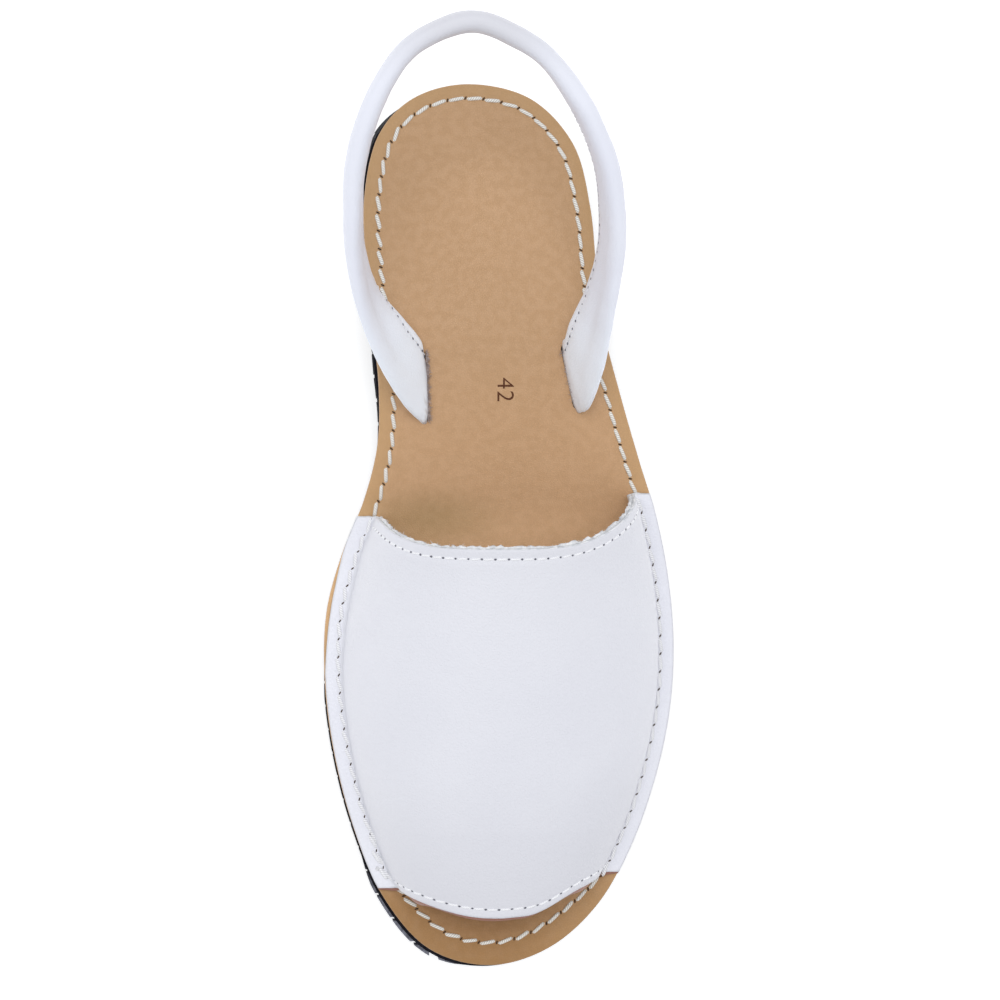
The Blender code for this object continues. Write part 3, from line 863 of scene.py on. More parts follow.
@dataclass(frozen=True)
class Rubber:
    """Black moulded rubber with a fine tooth and pale dust."""

    name: str = "black_rubber"
    base: Colour = (0.0040, 0.0042, 0.0075)
    dusty: Colour = (0.030, 0.032, 0.045)
    dust: float = 0.4
    roughness: float = 0.66

    def build(self, groups: Groups) -> Material:
        """Returns the material."""
        surface = Surface(self.name, groups)
        tree = surface.tree
        mottle = surface.effect(groups.mottle, Scale=60.0)
        nap = surface.effect(groups.nap, Scale=1400.0)
        clouds = math_node(tree, "MULTIPLY", mottle.outputs["Clouds"], mottle.outputs["Flecks"])
        thin = math_node(tree, "MULTIPLY", clouds, self.dust, clamp=True)
        worn = remap(tree, mottle.outputs["Flecks"], 0.0, 1.0, 0.55, 1.0)
        thick = math_node(tree, "MULTIPLY", surface.attribute("dust"), worn)
        dust = math_node(tree, "MAXIMUM", thin, thick)
        colour = blend(tree, dust, self.base, self.dusty)
        normal = surface.bump(nap.outputs["Height"], 0.00010, 0.6)
        roughness = remap(tree, dust, 0.0, 0.6, self.roughness, self.roughness + 0.25)
        return surface.finish(colour, normal, roughness, Specular_IOR_Level=0.10)


@dataclass(frozen=True)
class InkAndHoleShade:
    """A dark, dull spot: the pressed number's ink, or the painted shade inside a needle hole."""

    name: str
    colour: Colour
    paler: Colour
    roughness: float = 0.8

    def build(self, groups: Groups) -> Material:
        """Returns the material."""
        surface = Surface(self.name, groups)
        mottle = surface.effect(groups.mottle, Scale=160.0)
        colour = blend(surface.tree, mottle.outputs["Flecks"], self.colour, self.paler)
        return surface.finish(colour, None, self.roughness, Specular_IOR_Level=0.15)


@dataclass
class Finishes:
    """Every material of the sandal, built once."""

    groups: Groups = field(default_factory=lambda: Groups(build_grain(), build_mottle(), build_nap()))

    def __post_init__(self) -> None:
        """Builds the materials."""
        made = self.groups
        self.vamp = WhiteLeather().build(made)
        self.strap = WhiteLeather(
            name="white_strap_leather",
            light=(0.770, 0.785, 0.865),
            dark=(0.740, 0.755, 0.840),
            grain_scale=1150.0,
            grain_depth=0.00003,
            roughness=0.42,
        ).build(made)
        self.insole = TanLeather().build(made)
        self.suede = RawLeather("white_suede", (0.84, 0.845, 0.86), (0.68, 0.69, 0.71)).build(made)
        self.cut_white = RawLeather(
            "cut_white_edge", (0.84, 0.85, 0.88), (0.58, 0.60, 0.64), depth=0.0002
        ).build(made)
        self.fuzz = RawLeather("brown_fuzz", (0.55, 0.46, 0.44), (0.32, 0.25, 0.23)).build(made)
        self.cut_tan = RawLeather(
            "cut_tan_edge", (0.60, 0.39, 0.23), (0.36, 0.21, 0.12), scale=1600.0, depth=0.0002
        ).build(made)
        self.thread = TwistedThread("white_thread", (0.88, 0.87, 0.83), (0.60, 0.56, 0.50)).build(made)
        self.flange_thread = TwistedThread(
            "flange_thread", (0.93, 0.93, 0.95), (0.72, 0.72, 0.74)
        ).build(made)
        self.fine_thread = TwistedThread(
            "fine_white_thread", (0.93, 0.935, 0.965), (0.80, 0.80, 0.83), turns=1.6, depth=0.00006
        ).build(made)
        self.rubber = Rubber().build(made)
        self.lug_rubber = Rubber("dusty_lug_rubber", dusty=(0.250, 0.255, 0.305), dust=0.12).build(made)
        # The needle holes' dark lenses are painted shade.
        self.hole = InkAndHoleShade("needle_hole", (0.045, 0.026, 0.016), (0.090, 0.055, 0.035)).build(made)
        self.soft_hole = InkAndHoleShade("soft_needle_hole", (0.10, 0.10, 0.125), (0.20, 0.20, 0.235)).build(made)
        self.number = InkAndHoleShade("pressed_number", (0.075, 0.026, 0.012), (0.120, 0.048, 0.024)).build(made)


# Thread


@dataclass
class Stitching:
    """Rows of equal stitches, each a rounded length of thread with a needle hole at its ends."""

    name: str
    slot: str
    width: float
    pitch: float
    length_share: float = 0.86
    rise: float = 0.55
    slant: float = 0.0
    hole_width: float = 0.0009
    hole_shape: float = 0.8
    rings: int = 7
    sides: int = 8

    def template(self) -> bpy.types.Mesh:
        """Returns one stitch along X, a unit long, with the UV that its plies follow."""
        bm = bmesh.new()
        uv = bm.loops.layers.uv.new("UVMap")
        bmesh.ops.create_grid(bm, x_segments=self.rings, y_segments=self.sides, size=0.5)
        for vert in bm.verts:
            for loop in vert.link_loops:
                loop[uv].uv = (vert.co.y + 0.5, vert.co.x + 0.5)
        for vert in bm.verts:
            along, turn = vert.co.x, 2.0 * math.pi * (vert.co.y + 0.5)
            plump = max(0.30, (1.0 - abs(2.0 * along) ** 6.0)) ** 0.5
            radius = 0.5 * self.width * plump
            arch = math.cos(math.pi * along) ** 0.5 if abs(along) < 0.499 else 0.0
            centre = (self.rise * arch - 0.35) * self.width
            vert.co = (along, -math.sin(turn) * radius, centre + math.cos(turn) * radius * 0.8)
        bmesh.ops.remove_doubles(bm, verts=bm.verts, dist=1e-7)
        ends = [edge for edge in bm.edges if edge.is_boundary]
        bmesh.ops.holes_fill(bm, edges=ends)
        bmesh.ops.recalc_face_normals(bm, faces=bm.faces)
        return as_mesh(bm, f"{self.name}_template")

    def sew(self, spots: Sequence[Spot], finish: Material) -> Object:
        """Places a stitch at each spot.

        Args:
            spots: each stitch's start, its end and the surface's normal.
            finish: the thread's material.

        Returns:
            The piece with all the stitches.
        """
        template = self.template()
        bm = bmesh.new()
        shaky = random.Random(self.name)
        for start, end, normal in spots:
            before = len(bm.verts)
            bm.from_mesh(template)
            bm.verts.ensure_lookup_table()
            run = end - start
            turned = Matrix.Rotation(self.slant + shaky.uniform(-0.05, 0.05), 4, normal) @ run
            length = run.length * self.length_share * shaky.uniform(0.96, 1.03)
            placing = stand_on((start + end) / 2.0, normal, turned)
            shape = placing @ Matrix.Diagonal((length, shaky.uniform(0.94, 1.06), 1.0, 1.0))
            bmesh.ops.transform(bm, matrix=shape, verts=bm.verts[before:])
        bpy.data.meshes.remove(template)
        return add_piece(self.name, bm, [finish], sharp_angle=180.0)

    def pierce(self, spots: Sequence[Spot], finish: Material) -> Object:
        """Sets a shallow dark lens of painted shade in the surface at each needle hole.

        Args:
            spots: each hole's place, a direction along the row and the surface's normal.
            finish: the hole's material.

        Returns:
            The piece with all the holes.
        """
        bm = bmesh.new()
        for place, run, normal in spots:
            made = bmesh.ops.create_icosphere(bm, subdivisions=1, radius=0.5)["verts"]
            flat = Matrix.Diagonal((self.hole_width, self.hole_width * self.hole_shape, 0.00014, 1.0))
            bmesh.ops.transform(bm, matrix=stand_on(place, normal, run) @ flat, verts=made)
        return add_piece(f"{self.name}_holes", bm, [finish], sharp_angle=180.0)


# Vamp


@dataclass(frozen=True)
class RidgeRow:
    """Height of the vamp's ridge above the insole, as a share of its greatest height."""

    along: float
    height: float


@dataclass(frozen=True)
class FlangeRow:
    """How far inside the insole's edge the flange ends, on either side."""

    along: float
    medial: float
    lateral: float


@dataclass
class Vamp:
    """The vamp: one arched skin of grained leather over a suede lining, flat where it is sewn down."""

    last: Last
    finishes: Finishes
    height: float = 0.0560
    leather: float = 0.0020
    skin: float = 0.0011
    lining: float = 0.0008
    flange_width: float = 0.0056
    flange_rows: tuple[FlangeRow, ...] = rows(
        FlangeRow,
        (0.48, -0.0004, 0.0002), (0.53, 0.0001, 0.0002),
        (0.57, 0.0010, 0.0002), (0.60, 0.0012, 0.0002),
        (0.63, 0.0009, 0.0002), (0.67, 0.0002, 0.0002),
        (0.93, 0.0001, 0.0002),
    )
    throat_share: float = 0.524
    toe_share: float = 0.937
    toe_wave: float = 0.0040
    ridge_skew: float = -0.10
    squareness_throat: float = 2.10
    squareness_toe: float = 2.45
    ridge: tuple[RidgeRow, ...] = rows(
        RidgeRow,
        (0.44, 1.10), (0.525, 1.00), (0.60, 0.915), (0.68, 0.815),
        (0.76, 0.700), (0.84, 0.575), (0.90, 0.465), (0.96, 0.350),
    )
    rows: int = 170
    dome_columns: int = 120
    flange_columns: int = 9
    throat_seam: float = 0.0030
    toe_seam: float = 0.0027
    groove_width: float = 0.0009
    groove_depth: float = 0.00028
    lip_rise: float = 0.00022
    edge_pitch: float = 0.0041
    edge_beats: float = 38.0
    flange_beat: float = 0.00585
    arch_start: float = 0.035
    fibre_tries: int = 620

    @property
    def length(self) -> float:
        """The length from throat to toe along the vamp's middle."""
        return self.last.insole_length * (self.toe_share - self.throat_share)

    def throat_along(self, q: float) -> float:
        """Returns where the throat's edge runs, for q from -1 at the medial crease to 1 at the other."""
        if q < 0.0:
            return self.throat_share - 0.034 * (-q) ** 4.4
        return self.throat_share - 0.060 * q**2.7

    def toe_along(self, q: float) -> float:
        """Returns where the toe's edge runs, for q as for the throat."""
        if q < 0.0:
            return self.toe_share - 0.025 * (-q) ** 2.2
        return self.toe_share - 0.040 * q**1.9 + self.toe_wave * (bell(q, 0.45, 0.2) - bell(q, 0.78, 0.16))

    def ridge_height(self, along: float) -> float:
        """Returns the ridge's height above the insole."""
        rows, last = self.ridge, len(self.ridge) - 2
        k = next((i for i in range(last) if along < rows[i + 1].along), last)
        t = (along - rows[k].along) / (rows[k + 1].along - rows[k].along)
        four = [rows[min(max(k + j, 0), last + 1)].height for j in (-1, 0, 1, 2)]
        return self.height * catmull_rom(*four, t)

    def flange_x(self, side: Side, y: float, inset: float) -> float:
        """Returns the x of a line on the flange, the inset inwards of the flange's edge."""
        return self.last.side_x(side, y, -inset) - side.value * self.flange_inset(side, y)

    def flange_inset(self, side: Side, y: float) -> float:
        """Returns how far inside the insole's edge the flange ends at y."""
        name = "medial" if side is Side.MEDIAL else "lateral"
        table = [(row.along, getattr(row, name)) for row in self.flange_rows]
        return interpolate(self.last.along(y), table)

    def base(self, y: float) -> float:
        """Returns the height of the flange's top."""
        return self.last.insole_top(y) + self.last.gap + self.leather

    def along_at(self, q: float, share: float) -> float:
        """Returns the place along the insole for q across the vamp and a share from throat to toe."""
        return self.throat_along(q) + (self.toe_along(q) - self.throat_along(q)) * share

    def flange_point(self, side: Side, inset: float, share: float) -> Vector:
        """Returns a point of the flange or of the small hollow where it turns up."""
        y = self.last.shift.y - self.along_at(side.value, share) * self.last.insole_length
        turn = clamp01((inset / self.flange_width - 0.74) / 0.26)
        rise = 0.19 * self.flange_width * (1.0 - math.sqrt(1.0 - turn * turn))
        return Vector((self.flange_x(side, y, inset), y, self.base(y) + rise))

    def dome_q(self, angle: float, share: float) -> tuple[float, float]:
        """Returns how far across, from -1 to 1, and how high, from 0 to 1, an angle of the arch lies."""
        squareness = self.squareness_throat + (self.squareness_toe - self.squareness_throat) * share
        cosine = -math.cos(angle)
        out = math.copysign(abs(cosine) ** (2.0 / squareness), cosine)
        reach = 1.0 + self.ridge_skew if out < 0.0 else 1.0 - self.ridge_skew
        return self.ridge_skew + out * reach, max(math.sin(angle), 0.0) ** (2.0 / squareness)

    def dome_point(self, angle: float, share: float) -> Vector:
        """Returns a point of the arch, for an angle from 0 at the medial crease to pi at the other."""
        q, up = self.dome_q(angle, share)
        along = self.along_at(q, share)
        y = self.last.shift.y - along * self.last.insole_length
        medial, lateral = (self.flange_x(side, y, self.flange_width) for side in Side)
        x = 0.5 * (medial + lateral) + 0.5 * (lateral - medial) * q
        ridge = self.ridge_height(along) - self.last.gap - self.leather
        return Vector((x, y, self.base(y) + ridge * up))

    def columns(self) -> list[tuple[Side | None, float]]:
        """Returns the grid's columns: a side and an inset on the flanges, None and an angle on the arch."""
        insets = [self.flange_width * k / (self.flange_columns - 1) for k in range(self.flange_columns)]
        step = (math.pi - 2.0 * self.arch_start) / self.dome_columns
        angles = [self.arch_start + step * k for k in range(self.dome_columns + 1)]
        medial = [(Side.MEDIAL, inset) for inset in insets]
        lateral = [(Side.LATERAL, inset) for inset in reversed(insets)]
        return medial + [(None, angle) for angle in angles] + lateral

    def column_point(self, column: tuple[Side | None, float], share: float) -> Vector:
        """Returns the point of a column at a share from throat to toe."""
        side, value = column
        return self.dome_point(value, share) if side is None else self.flange_point(side, value, share)

    def sheet(self, overhang: Callable[[float, float], float]) -> BMesh:
        """Makes the arched sheet.

        Args:
            overhang: how far the sheet runs past its two edges, for a place across from 0 to 1 and the
                edge's share, 0 at the throat and 1 at the toe.

        Returns:
            The sheet, facing out, with its columns and shares as attributes.
        """
        columns = self.columns()
        across = len(columns) - 1
        bm = bmesh.new()
        bmesh.ops.create_grid(bm, x_segments=across, y_segments=self.rows, size=1.0)
        place = bm.verts.layers.float_vector.new("place")
        for vert in bm.verts:
            number = round((vert.co.x + 1.0) / 2.0 * across)
            share = (1.0 - vert.co.y) / 2.0
            low = overhang(number / across, Edge.THROAT.value) / self.length
            high = overhang(number / across, Edge.TOE.value) / self.length
            stretched = -low + (1.0 + low + high) * share
            vert[place] = (number, stretched, 0.0)
            vert.co = self.column_point(columns[number], stretched)
        bm.normal_update()
        return bm

    def relief(self, column: tuple[Side | None, float], share: float, point: Vector) -> tuple[float, float]:
        """Works out how the thread pulls the skin in.

        Args:
            column: the side and inset on a flange, or None and the angle on the arch.
            share: the place from throat to toe.
            point: the undented point.

        Returns:
            How far the skin lies out, and how strongly the seam shades it, from 0 to 1.
        """
        side, value = column
        wave = waves(point, (38.0, 0.00028), (120.0, 0.00010))
        from_throat, from_toe = share * self.length, (1.0 - share) * self.length
        if side is None:
            beat = 0.75 + 0.25 * math.cos(2.0 * self.edge_beats * value)
            throat = bell(from_throat, self.throat_seam, self.groove_width) * beat
            toe = bell(from_toe, self.toe_seam, self.groove_width) * beat
            lip = bell(from_throat, 0.0, 0.0016) + bell(from_toe, 0.0, 0.0014)
            crown = math.sin(value) ** 0.5
            dent = max(throat, toe)
            return (wave + self.lip_rise * lip - self.groove_depth * dent) * crown, 0.35 * dent
        own = self.flange_inset(side, point.y)
        seam = bell(value + own, self.last.seam_inset(self.last.along(point.y)), self.groove_width)
        beat = 0.7 + 0.3 * math.cos(2.0 * math.pi * point.y / self.flange_beat)
        edge = bell(value, 0.0, 0.0007)
        return 0.25 * wave - 0.00030 * seam * beat - 0.00022 * edge, 0.30 * seam

    def build_skin(self) -> Object:
        """Returns the grained outer skin."""
        columns = self.columns()
        bm = self.sheet(lambda across, edge: 0.0)
        place = bm.verts.layers.float_vector["place"]
        seam = bm.verts.layers.float.new("seam")
        shade = bm.verts.layers.float.new("shade")
        for vert in bm.verts:
            share = vert[place].y
            out, vert[seam] = self.relief(columns[round(vert[place].x)], share, vert.co)
            shadow = 0.25 + 0.45 * smooth_step(0.55, 0.95, share) + 0.15 * smooth_step(0.35, 0.0, share)
            on_arch = columns[round(vert[place].x)][0] is None
            vert[shade] = shadow if on_arch else 0.25 * shadow
            vert.co += vert.normal * out
        own = self.finishes
        skin = add_piece("vamp_skin", bm, [own.vamp, own.suede, own.cut_white], "upper")
        self.thicken(skin, self.skin)
        return skin

    def thicken(self, piece: Object, thickness: float) -> None:
        """Gives the sheet its thickness on the inside, with its lining face and cut edges finished."""
        wall = piece.modifiers.new("Thickness", "SOLIDIFY")
        wall.thickness = thickness
        wall.offset = -1.0
        wall.use_even_offset = True
        wall.use_quality_normals = True
        wall.material_offset = 1
        wall.material_offset_rim = 2

    def build_lining(self) -> Object:
        """Returns the suede lining, whose raw edge shows past the skin at the throat."""

        def overhang(across: float, edge: float) -> float:
            """Returns how far the lining stands out past the skin."""
            rim = smooth_step(0.0, 0.10, across) * smooth_step(1.0, 0.90, across)
            if edge == Edge.TOE.value:
                corners = bell(across, 0.82, 0.10) + bell(across, 0.17, 0.08)
                return 0.0004 + 0.0009 * rim + 0.0020 * corners
            ragged = noise.noise(Vector((across * 60.0, 3.1, 0.0)))
            ragged += 0.8 * noise.noise(Vector((across * 170.0, 7.7, 0.0)))
            return rim * (0.00050 + 0.00075 * ragged)

        bm = self.sheet(overhang)
        place = bm.verts.layers.float_vector["place"]
        glue = bm.verts.layers.float.new("glue")
        for vert in bm.verts:
            vert[glue] = smooth_step(0.985, 1.0, vert[place].y)
            vert.co -= vert.normal * (self.skin + 0.00003)
        own = self.finishes
        lining = add_piece("vamp_lining", bm, [own.suede, own.suede, own.cut_white], "upper")
        self.thicken(lining, self.lining)
        return lining

    def surface_normal(self, angle: float, share: float) -> Vector:
        """Returns the arch's outward normal."""
        step = 0.004
        across = self.dome_point(angle + step, share) - self.dome_point(angle - step, share)
        along = self.dome_point(angle, share + step) - self.dome_point(angle, share - step)
        normal = along.cross(across).normalized()
        return normal if normal.z > 0.0 else -normal

    def edge_line(self, edge: Edge, inset: float, margin: float) -> list[Point]:
        """Returns pairs of angle and share along a free edge, all but a margin of angle at its ends."""
        share = inset / self.length if edge is Edge.THROAT else 1.0 - inset / self.length
        step = (math.pi - 2.0 * margin) / 400
        return [(margin + step * k, share) for k in range(401)]

    def edge_spots(self, edge: Edge, inset: float, pitch: float) -> list[Spot]:
        """Returns the starts, ends and normals of the fine stitches beside a free edge."""
        lifted, normals = [], []
        for angle, share in self.edge_line(edge, inset, 0.10):
            point = self.dome_point(angle, share)
            out, _ = self.relief((None, angle), share, point)
            normals.append(self.surface_normal(angle, share))
            lifted.append(point + normals[-1] * out)
        return spots_along(lifted, normals, pitch)

    def build_edge_seams(self) -> None:
        """Sews the fine rows beside the throat and the toe."""
        for edge, inset in ((Edge.THROAT, self.throat_seam), (Edge.TOE, self.toe_seam)):
            stitching = Stitching(
                f"{edge.name.lower()}_stitches",
                "upper",
                width=0.00072,
                pitch=self.edge_pitch,
                length_share=0.80,
                slant=math.radians(5),
                hole_width=0.00095,
            )
            spots = self.edge_spots(edge, inset, stitching.pitch)
            stitching.sew(spots, self.finishes.fine_thread)
            holes = [(start + normal * 0.00003, end - start, normal) for start, end, normal in spots]
            stitching.pierce(holes, self.finishes.soft_hole)

    def build_fibres(self) -> Object:
        """Returns the loose fibres that stand out of the raw throat edge."""
        chance = random.Random(42)
        line = self.edge_line(Edge.THROAT, 0.0, 0.12)
        bm = bmesh.new()
        for _ in range(self.fibre_tries):
            angle = chance.choice(line)[0]
            dense = 0.45 + 0.55 * max(bell(angle, 0.5, 0.45), bell(angle, 2.55, 0.40))
            if chance.random() > dense:
                continue
            normal = self.surface_normal(angle, 0.0)
            away = (self.dome_point(angle, -0.01) - self.dome_point(angle, 0.0)).normalized()
            root = self.dome_point(angle, 0.002) - normal * chance.uniform(0.0009, 0.0018)
            sideways = normal.cross(away)
            lean = away + sideways * chance.uniform(-0.9, 0.9) + normal * chance.uniform(-0.25, 0.45)
            length = chance.uniform(0.0004, 0.0013) * (1.8 if chance.random() > 0.93 else 1.0)
            add_fibre(bm, root, lean.normalized(), normal, length, chance)
        return add_piece("throat_fibres", bm, [self.finishes.suede], sharp_angle=180.0)

    def build(self) -> None:
        """Makes the skin, the lining, their seams and the raw fibres."""
        self.build_skin()
        self.build_lining()
        self.build_edge_seams()
        self.build_fibres()


# Insole


@dataclass(frozen=True)
class Slit:
    """A slit in the insole: its middle as shares, its turn in degrees and its width.

    rawness is how brown the strap's cut edge is there, and fibres how many stand out of it.
    """

    along: float
    across: float
    turn: float
    width: float
    rawness: float
    fibres: int


@dataclass(frozen=True)
class TackRow:
    """A stitch of the back tack: steps along the seam, its place beside it, its turn and its half length."""

    step: int
    sideways: float
    turn: float
    reach: float


@dataclass
class Insole:
    """The tan leather footbed, with its pressed size number and the thick thread round its edge."""

    last: Last
    finishes: Finishes
    vamp: Vamp
    crown: float = 0.0006
    row_pitch: float = 0.0035
    stitch_pitch: float = 0.00575
    slit_length: float = 0.0212
    slits: dict[Side, Slit] = field(default_factory=dict)
    tack_pitch: float = 0.0005
    tack: tuple[TackRow, ...] = rows(
        TackRow,
        (-13, -0.0008, 8.0, 0.0026), (-1, 0.0008, 10.0, 0.0026),
        (10, 0.0009, 8.0, 0.0026), (6, 0.0019, -55.0, 0.0008),
    )
    number: str = "42"
    number_size: float = 0.0077
    number_along: float = 0.3455
    number_across: float = 0.065
    number_cut: float = 0.0011
    number_lift: float = 0.00006

    def build_slab(self) -> Object:
        """Returns the footbed: rings follow its edge and its seam, cross cuts follow its side profile."""
        bm = plan_sheet(self.last.edge(0.0))
        tone = bm.verts.layers.float.new("margin")
        dent = bm.verts.layers.float.new("dent")
        (face,) = bm.faces
        for vert in face.verts:
            vert[tone], vert[dent] = 0.9, self.crown
        seam = self.last.seam_inset
        rings: list[tuple[Callable[[float], float], float, float]] = [
            (lambda along: 0.35 * self.crown, 0.9, 0.30 * self.crown),
            (lambda along: self.crown, 0.9, 0.0),
            (lambda along: seam(along) - 0.0012, 0.8, 0.0),
            (seam, 0.5, 0.00030),
            (lambda along: seam(along) + 0.0012, 0.1, 0.0),
            (lambda along: seam(along) + 0.0040, 0.0, 0.0),
        ]
        for inset, rim, depth in rings:
            bmesh.ops.inset_individual(bm, faces=[face], thickness=1e-6)
            line = self.last.edge(lambda along, normal: -inset(along))
            for vert in face.verts:
                vert[tone], vert[dent] = rim, depth
                vert.co.xy = line[nearest(line, vert.co.xy)]
        low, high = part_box("insole")
        for k in range(1, int((high[1] - low[1]) / self.row_pitch)):
            cut_across(bm, (0.0, low[1] + k * self.row_pitch, 0.0))
        raise_sheet(bm, self.last.insole_bottom, self.last.insole_top)
        for vert in bm.verts:
            if vert.co.z > 0.5 * (self.last.insole_top(vert.co.y) + self.last.insole_bottom(vert.co.y)):
                vert.co.z -= vert[dent]
        for face in bm.faces:
            face.material_index = 0 if face.normal.z > 0.35 else 1
        leathers = [self.finishes.insole, self.finishes.cut_tan]
        slab = add_piece("footbed", bm, leathers, "insole", sharp_angle=35.0)
        self.cut_slits(slab)
        return slab

    def cut_slits(self, slab: Object) -> None:
        """Cuts the two slits that the strap's ends go down through."""
        bm = bmesh.new()
        for slit in self.slits.values():
            bar = bmesh.ops.create_cube(bm, size=1.0)["verts"]
            bmesh.ops.scale(bm, vec=(slit.width, self.slit_length, 0.02), verts=bar)
            edges = {edge for vert in bar for edge in vert.link_edges}
            upright = [edge for edge in edges if abs(edge.verts[0].co.z - edge.verts[1].co.z) > 0.01]
            round_off = {"offset": 0.45 * slit.width, "segments": 4, "profile": 0.5, "affect": "EDGES"}
            made = bmesh.ops.bevel(bm, geom=upright, **round_off)
            corners = {vert for face in made["faces"] for vert in face.verts}
            bar = list(corners | {vert for vert in bar if vert.is_valid})
            middle = self.last.place(slit.along, slit.across)
            turn = Matrix.Rotation(math.radians(slit.turn), 4, "Z")
            place = Matrix.Translation((*middle, self.last.insole_top(middle.y)))
            bmesh.ops.transform(bm, matrix=place @ turn, verts=bar)
        carve(slab, bm, "slit_bars", 35.0)

    def seam_steps(self) -> list[Spot]:
        """Returns the start, end and middle of each thick stitch in plan."""
        plan = walk(self.last.seam(), self.stitch_pitch, closed=True)
        return [(start, end, (start + end) / 2.0) for start, end in zip(plan, [*plan[1:], plan[0]])]

    def seam_spots(self) -> list[Spot]:
        """Returns the starts, ends and normals of the thick stitches, on the footbed and the flanges."""
        spots = []
        for start, end, middle in self.seam_steps():
            turn = Matrix.Rotation(self.seam_slant(middle), 2)
            ends = [middle + turn @ (point - middle) for point in (start, end)]
            spots.append(self.lay_stitch(ends, middle))
        return spots

    def lay_stitch(self, ends: Sequence[Vector], middle: Vector) -> Spot:
        """Returns a stitch's start, end and normal, laid on the surface below its plan."""
        start, end = (Vector((p.x, p.y, self.seam_height(middle, p.y))) for p in ends)
        run = (end - start).normalized()
        return start, end, (UP - run * UP.dot(run)).normalized()

    def seam_slant(self, middle: Vector) -> float:
        """Returns how far a stitch is turned out of its row: most on the medial side and at the toe."""
        along = self.last.along(middle.y)
        if along < 0.05:
            return math.radians(6)
        on_medial = middle.x < self.last.place(along, 0.0).x
        return math.radians(14 if on_medial or along > 0.95 else 8)

    def seam_height(self, middle: Vector, y: float) -> float:
        """Returns the height of the surface that a stitch with that middle lies on."""
        if self.on_flange(middle):
            return self.vamp.base(y) - 0.0002
        return self.last.insole_top(y) - 0.0002

    def on_flange(self, middle: Vector) -> bool:
        """Returns whether a stitch with that middle lies on one of the vamp's flanges."""
        along = self.last.along(middle.y)
        side = Side.MEDIAL if middle.x < self.last.place(along, 0.0).x else Side.LATERAL
        return self.vamp.throat_along(side.value) < along < self.vamp.toe_along(side.value)

    def build_seam(self) -> None:
        """Sews the thick thread right round: off-white on the footbed and pure white on the flanges."""
        spots = self.seam_spots()
        for flange, name, thread in (
            (False, "edge_stitches", self.finishes.thread),
            (True, "flange_stitches", self.finishes.flange_thread),
        ):
            stitching = Stitching(
                name,
                "insole",
                width=0.00122,
                pitch=self.stitch_pitch,
                length_share=0.93,
                hole_width=0.0013 if flange else 0.0015,
                hole_shape=0.38,
                rings=8,
            )
            chosen = [spot for spot in spots if self.on_flange((spot[0] + spot[1]) / 2.0) is flange]
            stitching.sew(chosen + (self.back_tack() if flange else []), thread)
            # Dark lenses of painted shade in the needle holes.
            stitching.pierce(self.hole_spots(flange), self.finishes.hole)

    def hole_spots(self, flange: bool) -> list[Spot]:
        """Returns place, long direction and normal of each needle hole on the footbed or the flanges."""
        holes = []
        for start, end, middle in self.seam_steps():
            if self.on_flange(middle) is not flange:
                continue
            across = Matrix.Rotation(math.radians(-35 if flange else 60), 2) @ (end - start)
            height = self.seam_height(middle, start.y) + 0.00015
            holes.append((Vector((*start, height)), Vector((*across, 0.0)), UP))
        return holes

    def back_tack(self) -> list[Spot]:
        """Returns the doubled stitches where the seam was begun and ended, beside the big toe."""
        seam = walk(self.last.seam(), self.tack_pitch, closed=True)
        corner = self.last.place(self.vamp.toe_along(-1.0), -0.5)
        first = nearest(seam, corner)
        spots = []
        for row in self.tack:
            before, middle, after = (seam[(first + row.step + j) % len(seam)] for j in (-3, 0, 3))
            run = (after - before).normalized()
            centre = middle + Vector((run.y, -run.x)) * row.sideways
            half = Matrix.Rotation(math.radians(row.turn), 2) @ run * row.reach
            start, end, normal = self.lay_stitch([centre - half, centre + half], middle)
            lift = normal * 0.00025
            spots.append((start + lift, end + lift, normal))
        return spots

    def build_number(self) -> Object:
        """Returns the size number, pressed beside the strap's slits and read from the heel."""
        curve = bpy.data.curves.new("size_number", "FONT")
        curve.body = self.number
        curve.size = self.number_size
        curve.align_x = "CENTER"
        curve.align_y = "CENTER"
        curve.space_character = 1.05
        curve.offset = -0.00006
        shaped = add_object("size_number_shape", curve)
        bpy.context.view_layer.update()
        bm = bmesh.new()
        bm.from_mesh(shaped.to_mesh())
        shaped.to_mesh_clear()
        bpy.data.objects.remove(shaped)
        middle = self.last.place(self.number_along, self.number_across)
        turn = Matrix.Translation((middle.x, middle.y, 0.0)) @ Matrix.Rotation(math.radians(-90), 4, "Z")
        bmesh.ops.transform(bm, matrix=turn, verts=bm.verts)
        for k in range(-4, 5):
            cut_across(bm, (0.0, middle.y + self.number_cut * k, 0.0))
        for vert in bm.verts:
            vert.co.z = self.last.insole_top(vert.co.y) + self.number_lift
        bmesh.ops.recalc_face_normals(bm, faces=bm.faces)
        if sum(face.normal.z for face in bm.faces) < 0.0:
            bmesh.ops.reverse_faces(bm, faces=bm.faces)
        return add_piece("size_number", bm, [self.finishes.number])

    def build(self) -> None:
        """Makes the footbed, its thread and its number."""
        self.build_slab()
        self.build_seam()
        self.build_number()


# Heel strap


@dataclass(frozen=True)
class StrapRow:
    """The strap's lower and upper edges at one place.

    along and across are shares as in the outline, rise is a share of the strap's rise above the insole, and
    plump a share of the way from the root's thickness to the padded one.
    """

    low_along: float
    low_medial: float
    low_lateral: float
    low_rise: float
    high_along: float
    high_medial: float
    high_lateral: float
    high_rise: float
    plump: float


@dataclass(frozen=True)
class Section:
    """A cross section of the strap: its centre, half its width and half its thickness towards the foot."""

    centre: Vector
    width: Vector
    inward: Vector


